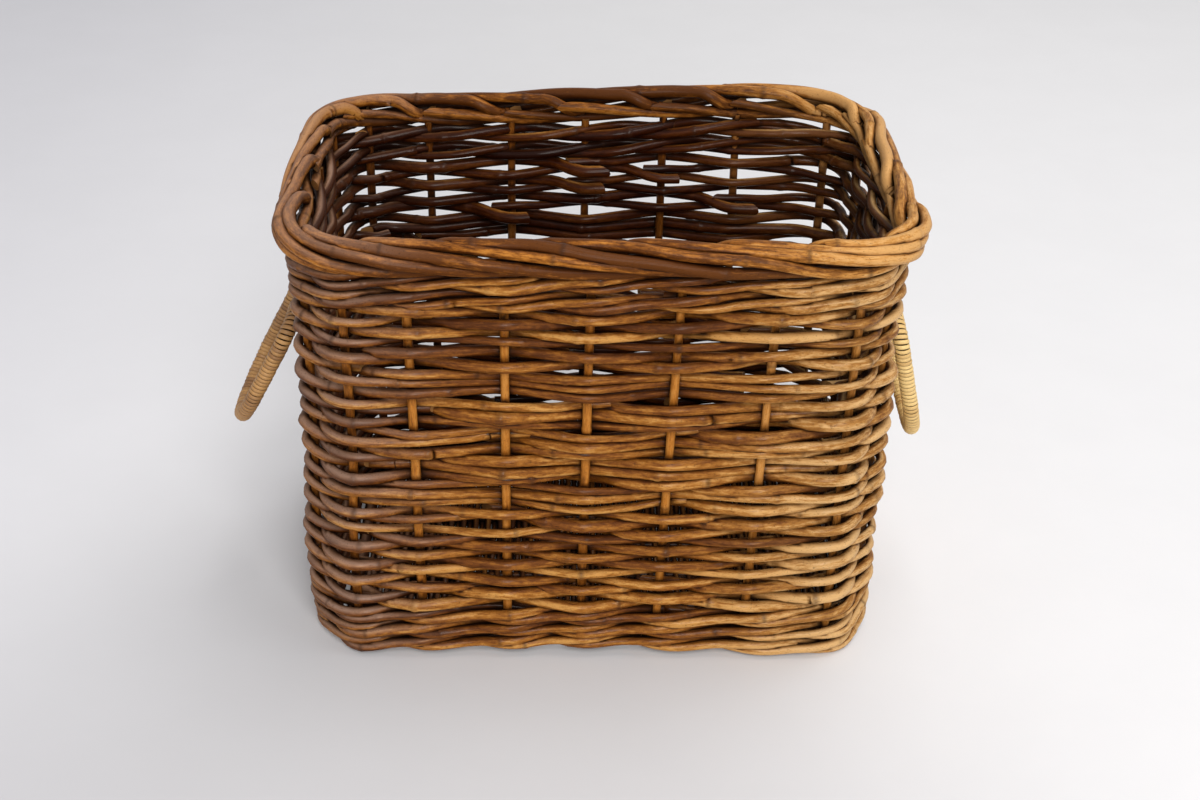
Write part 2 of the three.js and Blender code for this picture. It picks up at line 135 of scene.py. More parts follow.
class WallLine:
    """A rounded rectangle, measured along it from the front's middle to the right."""

    def __init__(self, half_width, half_depth, radius):
        self.radius = radius
        self.straight_x = half_width - radius
        self.straight_y = half_depth - radius
        self.arc = math.pi / 2 * radius
        self.quarter = self.straight_x + self.arc + self.straight_y
        self.length = 4 * self.quarter

    def at(self, distance):
        """Points and outward normals on the line."""
        wrapped = np.mod(distance, self.length)
        turned = wrapped >= self.length / 2
        along = np.where(turned, wrapped - self.length / 2, wrapped)
        mirrored = along > self.quarter
        run = np.where(mirrored, self.length / 2 - along, along)
        angle = np.clip((run - self.straight_x) / self.radius, 0, math.pi / 2)
        up = np.clip(run - self.straight_x - self.arc, 0, None)
        normal = np.stack([np.sin(angle), -np.cos(angle)], -1)
        point = np.stack([np.minimum(run, self.straight_x), up - self.straight_y], -1)
        point = point + self.radius * normal
        flip = np.stack([np.ones_like(run), np.where(mirrored, -1, 1)], -1)
        flip = flip * np.where(turned, -1, 1)[..., None]
        return point * flip, normal * flip

    def distance_of(self, x, y):
        places = np.linspace(0, self.length, 20000, endpoint=False)
        points, _ = self.at(places)
        return places[np.argmin((points[:, 0] - x) ** 2 + (points[:, 1] - y) ** 2)]


STAKE_NODES = nodes_with("stake_")
STAKE_COUNT = len(STAKE_NODES)
STAKE_MIDDLES = [middle_of(name) for name in STAKE_NODES]
HALF_WIDTH = max(abs(middle.x) for middle in STAKE_MIDDLES)
HALF_DEPTH = max(abs(middle.y) for middle in STAKE_MIDDLES)
WALL_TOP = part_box("upper_wale_02")[1].z
RIM_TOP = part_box("border")[1].z
WALL_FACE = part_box("upper_wale_02")[1].x
RIM_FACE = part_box("border")[1].x


def length(name, description, millimetres):
    default = millimetres * MM
    return bpy.props.FloatProperty(name=name, description=description, default=default, unit="LENGTH")


class BasketSizes(bpy.types.PropertyGroup):
    """Sizes of the rods and how they lie."""

    corner_radius: length("Corner radius", "Of the line through the stakes", 50)
    stake_radius: length("Stake radius", "At the stake's foot", 3.5)
    rod_radius: length("Rod radius", "Of a weaving rod in its middle", 4.1)
    rod_spread: length("Rod spread", "How much the rods differ in radius", 0.75)
    wale_radius: length("Wale radius", "Of a rod in the waling", 3.75)
    lining_radius: length("Lining radius", "Of the rod along the base's edge", 3.3)
    strand_radius: length("Strand radius", "Of a border strand", 4.9)
    lift: length("Lift", "How far a rod rises where it passes outside the front", 2.0)
    sway: length("Sway", "How far a row wanders from its level", 1.5)
    cane_width: length("Cane width", "Of the strip round a handle", 3.4)
    cane_thickness: length("Cane thickness", "Of the strip round a handle", 1.3)


def colour(name, description, default):
    return bpy.props.FloatVectorProperty(
        name=name, description=description, default=default, subtype="COLOR", min=0, max=1
    )


class BasketColours(bpy.types.PropertyGroup):
    """Colours of the willow, the cane and the floor."""

    deep: colour("Deep", "The darkest willow", (0.075, 0.021, 0.0035))
    brown: colour("Brown", "Most of the aged willow", (0.165, 0.052, 0.0080))
    golden: colour("Golden", "Cleaner willow", (0.320, 0.122, 0.018))
    tan: colour("Tan", "The palest willow", (0.530, 0.265, 0.070))
    amber: colour("Amber", "The orange of the stakes", (0.470, 0.175, 0.024))
    # Laid on upward faces: grey dust, and a painted highlight from the light above.
    mauve: colour("Mauve", "Grey patina on top of the rods", (0.330, 0.210, 0.155))
    # Nearly black: painted shade deep between the rods, and the even grime of the base.
    dirt_and_shade: colour("Dirt", "What lies between the rods", (0.014, 0.005, 0.002))
    # The right handle's cane is far paler than the left's: partly its own colour, partly painted light
    # from the right.
    straw: colour("Straw", "The right handle's cane", (0.80, 0.58, 0.24))
    toffee: colour("Toffee", "The left handle's cane", (0.50, 0.27, 0.09))
    floor: colour("Floor", "Floor and background", (0.745, 0.755, 0.79))


def angle(name, description, degrees):
    default = math.radians(degrees)
    return bpy.props.FloatProperty(name=name, description=description, default=default, unit="ROTATION")


class BasketView(bpy.types.PropertyGroup):
    """Where the camera stands: fitted to the basket's outline, for a picture 1200 by 800."""

    place: bpy.props.FloatVectorProperty(
        name="Place", description="Of the camera", default=(-0.0179, -1.1592, 0.8732),
        subtype="XYZ", unit="LENGTH",
    )
    tilt: angle("Tilt", "Down from level", 31.9)
    turn: angle("Turn", "To the right of +Y", 1.106)
    roll: angle("Roll", "Anticlockwise", 0.873)
    lens: bpy.props.FloatProperty(
        name="Lens", description="Focal length in millimetres", default=51.34, min=10
    )


def sizes():
    return bpy.context.scene.basket_sizes


def colours():
    return bpy.context.scene.basket_colours


# How far the front stakes lean from the frame's straight ones, in millimetres along the wall at
# the foot and at the top, from the left corner to the right one.
FRONT_LEANS = [(9, 8), (-6, -9), (-5, -3), (-11, -5), (-15, -4), (-9, 1), (-5, -2)]
OTHER_LEAN = 3 * MM
# The back stakes stand a little further left than the frame's.
BACK_SHIFT = 9 * MM


class Stakes:
    """The stakes' places along the wall line, which lean a little."""

    def __init__(self):
        rng = np.random.default_rng(SEED)
        self.line = WallLine(HALF_WIDTH, HALF_DEPTH, sizes().corner_radius)
        places = np.array([self.line.distance_of(middle.x, middle.y) for middle in STAKE_MIDDLES])
        self.places = places - self.line.length * (places >= places[0])
        leans = rng.uniform(-OTHER_LEAN, OTHER_LEAN, (2, STAKE_COUNT))
        leans[:, : len(FRONT_LEANS)] = np.array(FRONT_LEANS).T * MM
        straight = HALF_WIDTH - sizes().corner_radius
        at_back = np.array([middle.y > 0 and abs(middle.x) < straight for middle in STAKE_MIDDLES])
        self.low, self.high = leans + BACK_SHIFT * at_back

    def distance(self, number, height):
        """The distance along the wall line at a stake number, whole or not, also past the last."""
        number = np.asarray(number, float)
        lower = np.floor(number).astype(int)
        share = number - lower
        up = np.clip(np.asarray(height, float) / WALL_TOP, 0, 1)
        return (1 - share) * self.place(lower, up) + share * self.place(lower + 1, up)

    def place(self, number, up):
        index = number % STAKE_COUNT
        turns = (number // STAKE_COUNT) * self.line.length
        return self.places[index] + turns + self.low[index] * (1 - up) + self.high[index] * up

    def beside(self, number, outwards, height):
        """Points beside the wall line and the outward directions there."""
        point, normal = self.line.at(self.distance(number, height))
        point = point + normal * np.asarray(outwards)[..., None]
        points = np.column_stack([point, np.broadcast_to(height, point.shape[:1])])
        return points, np.column_stack([normal, np.zeros(len(normal))])


# How use has bent the real basket: how far it moved, then where, as places in the frame.
LEFT_BULGE, BULGE_START, BULGE_FADE, BULGE_FRONT = 6.5 * MM, 0.10, (0.09, 0.20), (-0.11, -0.05)
BACK_BUMP, BUMP_MIDDLE, BUMP_REACH = 5 * MM, 0.105, 0.075
BACK_DROP, DROP_MIDDLE, DROP_REACH = 4 * MM, -0.13, 0.11
RIGHT_RIM, RIM_START, RIM_FADE, RIM_RISE = 4 * MM, 0.12, (-0.04, 0.08), (0.30, 0.35)
FOOT_ARCH, ARCH_SINK, ARCH_MIDDLE, ARCH_REACH, ARCH_TOP = 6 * MM, 3 * MM, -0.03, 0.20, 0.05
FROM_MIDDLE = 0.02
# Beside the handles the rods stay inside the frame's faces, and the border a little further in.
RIM_MARGIN = 2.5 * MM
HANDLE_EDGES = (0.05, 0.085)
FREE_MARGIN = 20 * MM


def settle(points, radius=0.0):
    """Moves points the way that use has bent the basket, off the floor and clear of the handles."""
    x, y, z = points.T
    moved = points.copy()
    low = rise(z, -0.02, 0.05) * (1 - rise(z, *BULGE_FADE))
    bulge = rise(-x, BULGE_START, HALF_WIDTH) * low * (1 - rise(y, *BULGE_FRONT))
    moved[:, 0] -= LEFT_BULGE * bulge
    hump = BACK_BUMP * np.exp(-(((x - BUMP_MIDDLE) / BUMP_REACH) ** 2))
    slump = BACK_DROP * np.exp(-(((x - DROP_MIDDLE) / DROP_REACH) ** 2))
    moved[:, 2] += rise(y, FROM_MIDDLE, HALF_DEPTH) * rise(z, 0.20, RIM_TOP) * (hump - slump)
    near_right = rise(x, RIM_START, HALF_WIDTH) * (1 - rise(y, *RIM_FADE)) * rise(z, *RIM_RISE)
    moved[:, 0] += RIGHT_RIM * near_right
    under = 1 - np.clip(np.abs(x - ARCH_MIDDLE) / ARCH_REACH, 0, 1) ** 2
    arch = rise(-y, FROM_MIDDLE, HALF_DEPTH) * under * (1 - rise(z, 0.0, ARCH_TOP))
    moved[:, 2] += FOOT_ARCH * arch
    moved[:, 1] += ARCH_SINK * arch
    moved[:, 2] = np.maximum(moved[:, 2], radius)
    face = np.where(z > WALL_TOP, RIM_FACE - RIM_MARGIN, WALL_FACE) - radius
    face = face + FREE_MARGIN * rise(np.abs(y), *HANDLE_EDGES)
    moved[:, 0] = np.clip(moved[:, 0], -face, face)
    return moved


def lengths_along(path):
    """The distance from a path's start to each of its points."""
    return np.concatenate([[0], np.cumsum(np.linalg.norm(np.diff(path, axis=0), axis=1))])


class Rods:
    """Gathers swept rods, then makes one mesh of them with their marks as attributes."""

    SIDES = 10

    def __init__(self):
        self.points, self.faces, self.count = [], [], 0
        self.marks = {name: [] for name in ("along", "face", "flank", "rod", "knot", "patina", "cut")}

    def sweep(
        self, path, radius, outward, identity, along=None, knot=0.0, patina=0.5,
        sides=SIDES, flat=1.0, slant=0.0,
    ):
        """A rod along a path. Angle zero points outward, and flat is the width in the other direction.

        Slant is how far the cut ends reach at the outside, as a share of the radius.
        """
        path = np.asarray(path, float)
        count = len(path)
        radius = np.broadcast_to(radius, (count,)).astype(float)
        tangent = np.gradient(path, axis=0)
        tangent /= np.linalg.norm(tangent, axis=1)[:, None]
        outward = np.broadcast_to(outward, path.shape)
        normal = outward - (outward * tangent).sum(1)[:, None] * tangent
        normal /= np.linalg.norm(normal, axis=1)[:, None]
        binormal = np.cross(tangent, normal)
        if along is None:
            along = lengths_along(path)
        angles = TAU * np.arange(sides) / sides
        ring = normal[:, None] * np.cos(angles)[None, :, None]
        ring = ring + flat * binormal[:, None] * np.sin(angles)[None, :, None]
        points = path[:, None] + radius[:, None, None] * ring
        for end in (0, -1):
            points[end] += tangent[end] * (slant * radius[end] * np.cos(angles))[:, None]
        self.points += [points.reshape(-1, 3), points[0], path[:1], points[-1], path[-1:]]
        around = np.arange(sides)
        beside = (around + 1) % sides
        rings = self.count + np.arange(count - 1)[:, None] * sides
        low, high = rings + around, rings + beside
        self.faces += np.stack([low, high, high + sides, low + sides], -1).reshape(-1, 4).tolist()
        first = self.count + count * sides
        last = first + sides + 1
        for cap, left, right in ((first, beside, around), (last, around, beside)):
            self.faces += np.stack([np.full(sides, cap + sides), cap + left, cap + right], -1).tolist()
        self.count = last + sides + 1
        marks = {"along": along, "rod": identity, "knot": knot, "patina": patina}
        for name, values in marks.items():
            values = np.broadcast_to(values, (count,)).astype(float)
            self.marks[name] += [np.repeat(values, sides), np.repeat(values[[0, -1]], sides + 1)]
        turned = np.concatenate([np.tile(angles, count + 1), [0], angles, [0]])
        self.marks["face"].append(np.cos(turned))
        self.marks["flank"].append(np.sin(turned))
        self.marks["cut"].append(np.repeat([0.0, 1.0], [count * sides, 2 * sides + 2]))

    def build(self, name, finish, body, node):
        """One object of all the rods, on a body and in place of a node."""
        mesh = bpy.data.meshes.new(name)
        mesh.from_pydata(np.concatenate(self.points).tolist(), [], self.faces)
        for mark, values in self.marks.items():
            attribute = mesh.attributes.new(mark, "FLOAT", "POINT")
            attribute.data.foreach_set("value", np.concatenate(values).astype(np.float32))
        mesh.polygons.foreach_set("use_smooth", np.ones(len(mesh.polygons), bool))
        mesh.materials.append(finish_of(finish))
        piece = bpy.data.objects.new(name, mesh)
        bpy.context.scene.collection.objects.link(piece)
        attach(piece, body)
        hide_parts(node)


KNOT_GAP = (55 * MM, 150 * MM)
FIRST_KNOT, LAST_KNOT = 10 * MM, 8 * MM
KNOT_REACH = 2.2 * MM
KNOT_OFFSETS = np.array([-5, -2.2, -0.9, 0, 0.9, 2.2, 5]) * MM
KNOT_SWELL = 0.13


class WovenRod:
    """Places along one rod in stake numbers, with more where it has a knot, and its marks there."""

    STEP = 4.8 * MM
    WOBBLE, WOBBLE_LENGTH = 0.035, 17 * MM

    def __init__(self, rng, start, end, radius, taper, pitch=1.0, finer=()):
        length = (end - start) * pitch
        even = np.linspace(start, end, round(length / self.STEP))
        knots = []
        place = rng.uniform(FIRST_KNOT, KNOT_GAP[1])
        while place < length - LAST_KNOT:
            knots.append(place)
            place += rng.uniform(*KNOT_GAP)
        extra = [start + (place + KNOT_OFFSETS) / pitch for place in knots]
        self.numbers = np.unique(np.concatenate([even, finer] + extra))
        travelled = (self.numbers - start) * pitch
        nearest = np.full(len(self.numbers), 1.0)
        self.knot = np.zeros(len(self.numbers))
        for place in knots:
            away = np.abs(travelled - place)
            nearest = np.minimum(nearest, away)
            ring = np.clip(1.2 - away / KNOT_REACH, 0, 1) * rng.uniform(0.2, 0.85)
            self.knot = np.maximum(self.knot, ring)
        self.along = travelled + rng.uniform(0, 50)
        swell = 1 + KNOT_SWELL * np.exp(-((nearest / KNOT_REACH) ** 2))
        wobble = 1 + self.WOBBLE * np.sin(travelled / self.WOBBLE_LENGTH + rng.uniform(0, TAU))
        self.radius = radius * (1 - taper * (self.numbers - start) / (end - start)) * swell * wobble


# How sharply a rod bends over a stake: 1 gives straight lines with corners, 0 a plain wave.
SHARPNESS = 0.95


def plain_sides(outside_first):
    """For each stake, +1 if a rod passes outside it and -1 if inside, in turn."""
    return np.where((np.arange(STAKE_COUNT) + outside_first) % 2 == 0, 1.0, -1.0)


def over_under(number, sides):
    """+1 at stakes that a rod passes outside, -1 inside, and nearly straight between them."""
    lower = np.floor(number).astype(int)
    before, after = sides[lower % STAKE_COUNT], sides[(lower + 1) % STAKE_COUNT]
    swing = np.arcsin(SHARPNESS * np.cos(math.pi * (number - lower))) / math.asin(SHARPNESS)
    return (before * (1 + swing) + after * (1 - swing)) / 2


# Patina on the rods: in the middle, what the left side and the back add (partly patina, partly
# painted shade), what the foot takes away, how much it changes along a rod, and how much the rods
# differ.
PATINA, PATINA_AND_SHADE_LEFT, PATINA_AND_SHADE_BACK, PATINA_FOOT = 0.42, 0.12, 0.12, 0.08
PATINA_ALONG, PATINA_SPREAD = 0.12, 0.17


def patina_at(points, rng):
    """How grey and brown a rod is along its length, from 0 to 1."""
    x, y, z = points.T
    # The left side and the back get darker: partly patina, partly painted shade.
    base = PATINA + PATINA_AND_SHADE_LEFT * rise(-x, 0.05, HALF_WIDTH) + PATINA_AND_SHADE_BACK * rise(y, 0.0, HALF_DEPTH)
    base -= PATINA_FOOT * rise(-z, -0.18, 0.0)
    waves = np.linspace(0, rng.uniform(2, 6), len(points)) + rng.uniform(0, TAU)
    return np.clip(base + PATINA_ALONG * np.sin(waves) + rng.normal(0, PATINA_SPREAD), 0, 1)


def uneven(rng, size, number):
    """A random value at each stake, joined smoothly, for places given as stake numbers."""
    values = rng.normal(0, size, STAKE_COUNT)
    keys = np.arange(-STAKE_COUNT, 3 * STAKE_COUNT)
    return smooth_line(keys, values[keys % STAKE_COUNT], number)


class Weaver:
    """Makes the rods of the woven rows and of the waling. Uneven sizes below are spreads in metres."""

    # How closely a rod that passes a stake hugs it, as a share of its radius.
    HUG = 0.85
    # How far a row's rod starts before its first stake and ends past its last, in stakes.
    BEFORE, PAST = 0.22, 0.24
    BUTT, TAPER = 1.1, 0.22
    # How far the butts lie inwards and give way up or down, as shares of the radius.
    BUTT_INWARDS, GIVE_WAY = 2.5, 0.75
    TIP_GAP = 0.3 * MM
    WALE_PAST, WALE_BUTT, WALE_TAPER, WALE_FIRST = 0.2, 1.04, 0.1, 12
    CUT_SLANT = 1.4
    ROW_WAVE, ROW_UNEVEN, ROW_UNEVEN_OUT = 1.1 * MM, 1.0 * MM, 0.6 * MM
    WALE_WAVE, WALE_UNEVEN = 0.5 * MM, 0.45 * MM
    LINING_GAP, LINING_UNEVEN, LINING_OVERLAP, LINING_TAPER = 0.8 * MM, 0.2 * MM, 0.6, 0.1

    def __init__(self, stakes):
        self.stakes = stakes
        self.pitch = stakes.line.length / STAKE_COUNT
        rng = np.random.default_rng(SEED + 1)
        self.drift = [Waviness(rng, 1, 5) for _ in range(3)]

    def sway(self, number, height):
        """How far a row wanders up or down, alike in rows that lie close together."""
        up = height / WALL_TOP
        low, middle, high = (wave(number / STAKE_COUNT) for wave in self.drift)
        ends = rise(up, 0, 0.12) * (1 - rise(up, 0.9, 1.0))
        return sizes().sway * ends * (low * (1 - up) + middle * up * (1 - up) * 2 + high * up)

    def lift(self, number, height):
        """How far a rod rises outside a stake: most at the front and not at all at the back."""
        point, _ = self.stakes.line.at(self.stakes.distance(number, height))
        return sizes().lift * np.clip(-point[:, 1] / HALF_DEPTH, 0, 1)

    def lay(self, rods, rng, rod, outwards, level, slant=CUT_SLANT):
        """Sweeps a rod at distances outwards from the wall line, its ends cut at a random slant."""
        points, outward = self.stakes.beside(rod.numbers, outwards, level)
        points = settle(points, rod.radius)
        identity, patina = rng.random(), patina_at(points, rng)
        slant = rng.uniform(-slant, slant)
        rods.sweep(points, rod.radius, outward, identity, rod.along, rod.knot, patina, slant=slant)

    def row(self, rods, rng, height, sides):
        """One row round the basket: a few rods, each starting and ending inside at a stake."""
        own_wave = Waviness(rng, 3, 9)
        joints = self.joints(rng, sides)
        for start, end in zip(joints, joints[1:] + [joints[0] + STAKE_COUNT]):
            rod_radius = sizes().rod_radius + rng.uniform(-1, 1) * sizes().rod_spread
            span = (start - self.BEFORE, end + self.PAST)
            rod = WovenRod(rng, *span, rod_radius * self.BUTT, self.TAPER, self.pitch)
            number = rod.numbers
            value = over_under(number, sides)
            reach = sizes().stake_radius + self.HUG * rod.radius
            outwards = value * reach + uneven(rng, self.ROW_UNEVEN_OUT, number)
            level = height + self.sway(number, height) + self.ROW_WAVE * own_wave(number / STAKE_COUNT)
            level = level + self.lift(number, height) * value + uneven(rng, self.ROW_UNEVEN, number)
            # The butt lies inside the tip of the rod before it, and each gives way up or down.
            butt = 1 - rise(number, start - 0.05, start + 0.5)
            tip = rise(number, end - 0.45, end)
            inwards = sizes().stake_radius + self.BUTT_INWARDS * rod.radius
            outwards = outwards * (1 - butt) - butt * inwards
            past = rise(number, end - 0.02, end + 0.1)
            outwards = outwards * (1 - past) - past * (reach + self.TIP_GAP)
            level = level - butt * rod.radius * self.GIVE_WAY + tip * rod.radius * self.GIVE_WAY
            self.lay(rods, rng, rod, outwards, level)

    def joints(self, rng, sides):
        """The stakes where a row's rods start, each passed inside."""
        inside = np.flatnonzero(sides < 0).tolist()
        start = int(rng.integers(0, 4))
        chosen = []
        while start < len(inside) - 2:
            chosen.append(inside[start])
            start += int(rng.integers(4, 7))
        return chosen

    def wale(self, rods, rng, height):
        """One round of three-rod waling: each rod passes outside two stakes and inside the third."""
        radius = sizes().wale_radius
        reach = sizes().stake_radius + self.HUG * radius
        across = [-reach, -0.5 * radius, reach, 1.25 * radius, reach, -0.5 * radius]
        upright = self.HUG * radius * np.array([0, -1, -1, 0, 1, 1])
        keys = np.arange(-6, 12) / 2
        for strand in range(3):
            own_wave = Waviness(rng, 3, 8)
            start = strand + 3 * int(rng.integers(0, 3))
            change = start + self.WALE_FIRST
            for first, last in ((start, change), (change, start + STAKE_COUNT)):
                rod_radius = radius + rng.uniform(-1, 1) * sizes().rod_spread
                span = (first - self.WALE_PAST, last + self.WALE_PAST)
                rod = WovenRod(rng, *span, rod_radius * self.WALE_BUTT, self.WALE_TAPER, self.pitch)
                number = rod.numbers
                phase = self.wale_phase(number, strand)
                outwards = smooth_line(keys, np.tile(across, 3), phase)
                level = height + smooth_line(keys, np.tile(upright, 3), phase)
                wave = self.WALE_WAVE * own_wave(number / STAKE_COUNT)
                level = level + self.sway(number, height) + wave
                level = level + uneven(rng, self.WALE_UNEVEN, number)
                self.lay(rods, rng, rod, outwards, level)

    def wale_phase(self, number, strand):
        """Where a strand is in its three stakes, stretched because three doesn't divide the stakes."""
        rounds = STAKE_COUNT - STAKE_COUNT % 3
        return np.mod((number - strand) * rounds / STAKE_COUNT, 3)

    def lining(self, rods, rng, height):
        """A thin rod inside the stakes that closes the base's edge above the first waling."""
        radius = sizes().lining_radius
        rod = WovenRod(rng, 0, STAKE_COUNT + self.LINING_OVERLAP, radius, self.LINING_TAPER, self.pitch)
        inwards = sizes().stake_radius + radius + self.LINING_GAP
        inwards = inwards + uneven(rng, self.LINING_UNEVEN, rod.numbers)
        self.lay(rods, rng, rod, -inwards, height + self.sway(rod.numbers, height), 0.0)


class Value:
    """A number in a finish. Arithmetic on it adds Math nodes."""

    def __init__(self, finish, socket):
        self.finish = finish
        self.socket = socket

    def maths(self, operation, *values, clamp=False):
        node = self.finish.node(
            "ShaderNodeMath", {"operation": operation, "use_clamp": clamp}, dict(enumerate(values))
        )
        return Value(self.finish, node.outputs[0])

    def __add__(self, other):
        return self.maths("ADD", self, other)

    __radd__ = __add__

    def __sub__(self, other):
        return self.maths("SUBTRACT", self, other)

    def __rsub__(self, other):
        return self.maths("SUBTRACT", other, self)

    def __mul__(self, other):
        return self.maths("MULTIPLY", self, other)

    __rmul__ = __mul__

    def clamped(self):
        return self.maths("ADD", self, 0.0, clamp=True)

    def between(self, low, high):
        """0 at low and below, 1 at high and above."""
        node = self.finish.node(
            "ShaderNodeMapRange",
            {"interpolation_type": "SMOOTHSTEP"},
            {"Value": self, "From Min": low, "From Max": high},
        )
        return Value(self.finish, node.outputs["Result"])


class Nodes:
    """Adds nodes to an emptied tree."""

    def __init__(self, owner):
        owner.use_nodes = True
        self.tree = owner.node_tree
        self.tree.nodes.clear()

    def node(self, kind, settings=None, inputs=None):
        """A node with its settings made first, then the values or links of its sockets."""
        node = self.tree.nodes.new(kind)
        for name, value in (settings or {}).items():
            setattr(node, name, value)
        for name, value in (inputs or {}).items():
            self.feed(node.inputs[name], value)
        return node

    def feed(self, socket, value):
        """Links a socket or gives it a constant value."""
        if isinstance(value, (Value, bpy.types.NodeSocket)):
            self.tree.links.new(getattr(value, "socket", value), socket)
        elif socket.type == "RGBA":
            socket.default_value = (*value[:3], 1)
        else:
            socket.default_value = value


class Finish(Nodes):
    """Builds one material's nodes."""

    def __init__(self, name):
        self.material = bpy.data.materials.new(name)
        super().__init__(self.material)

    def mark(self, name):
        """A number that the mesh carries."""
        return Value(self, self.node("ShaderNodeAttribute", {"attribute_name": name}).outputs["Fac"])

    def place(self):
        """The place in the frame, and its X and Y as numbers."""
        place = self.node("ShaderNodeTexCoord").outputs["Object"]
        return place, self.part(place, 0), self.part(place, 1)

    def part(self, vector, index):
        """X, Y or Z of a vector."""
        return Value(self, self.node("ShaderNodeSeparateXYZ", None, {0: vector}).outputs[index])

    def vector(self, x, y, z):
        return self.node("ShaderNodeCombineXYZ", None, {0: x, 1: y, 2: z}).outputs[0]

    def noise(self, vector, scale, detail, roughness):
        inputs = {"Vector": vector, "Scale": scale, "Detail": detail, "Roughness": roughness}
        return Value(self, self.node("ShaderNodeTexNoise", None, inputs).outputs["Fac"])

    def grain(self, kind, along, face, flank, shift, turn):
        """Noise along and round a rod, of a kind and moved along it or round it."""
        run, spin, scale, detail, roughness = kind
        vector = self.vector(along * run + shift, face * spin + turn, flank * spin)
        return self.noise(vector, scale, detail, roughness)

    def mix(self, factor, first, second, blend="MIX"):
        """Two colours mixed by a number."""
        settings = {"data_type": "RGBA", "blend_type": blend, "clamp_factor": True}
        return self.node("ShaderNodeMix", settings, {0: factor, 6: first, 7: second}).outputs[2]

    def times(self, first, second):
        """Two colours multiplied."""
        return self.mix(1.0, first, second, "MULTIPLY")

    def ramp(self, factor, stops):
        """A colour from a scale of places and colours."""
        node = self.node("ShaderNodeValToRGB", None, {0: factor})
        points = node.color_ramp.elements
        for index, (place, tone) in enumerate(stops):
            point = points[index] if index < 2 else points.new(place)
            point.position = place
            point.color = (*tone, 1)
        return node.outputs[0]

    def shader(self, base, roughness, height, distance, **constants):
        """A Principled surface with bump, sent to the output."""
        relief = {"Height": height, "Strength": 1.0, "Distance": distance}
        normal = self.node("ShaderNodeBump", None, relief).outputs[0]
        inputs = {"Base Color": base, "Roughness": roughness, "Normal": normal, **constants}
        surface = self.node("ShaderNodeBsdfPrincipled", None, inputs)
        self.node("ShaderNodeOutputMaterial", None, {"Surface": surface.outputs[0]})
        return self.material


# Where along X the willow is bleached and painted lighter for the light from the right, painted paler
# and bluer for the highlights there, greyed by use on top and partly given a painted highlight there,
# and where the short sides' borders start, which are painted lighter.
BLEACHED_AND_LIT = (0.02, 0.19)
PALE_AND_LIT = (0.05, 0.21)
GREYED = (-0.09, -0.20)
SIDE_BORDERS = (0.13, 0.215)
NEARLY_BLACK = (0.03, 0.012, 0.006)
FRESH_CUT = (0.28, 0.135, 0.045)
# What a colour is multiplied by: in fibres, as painted shade on a rod's inner side, as painted shade
# between the rods, and where it is painted paler and bluer for the light from the right.
FIBRE_TINT = (0.55, 0.46, 0.38)
INNER_SHADE_TINT = (0.17, 0.10, 0.065)
CREVICE_SHADE_TINT = (0.45, 0.34, 0.22)
PALE_AND_LIT_TINT = (1.25, 1.7, 3.2)
# Noise on a rod: how fast it runs along and round the rod, its scale, detail and roughness.
FIBRES = (130.0, 4.2, 2.2, 5.0, 0.7)
BLOTCHES = (75.0, 1.1, 1.5, 4.0, 0.65)
PATCHES = (13.0, 0.7, 1.3, 3.0, 0.6)
SPECKS = (700.0, 3.4, 1.0, 3.0, 0.6)
# How far apart in the noise the rods lie.
ROD_SHIFT = 61.0
# Places of the four tones between dark and pale.
TONE_PLACES = (0.0, 0.36, 0.68, 1.0)


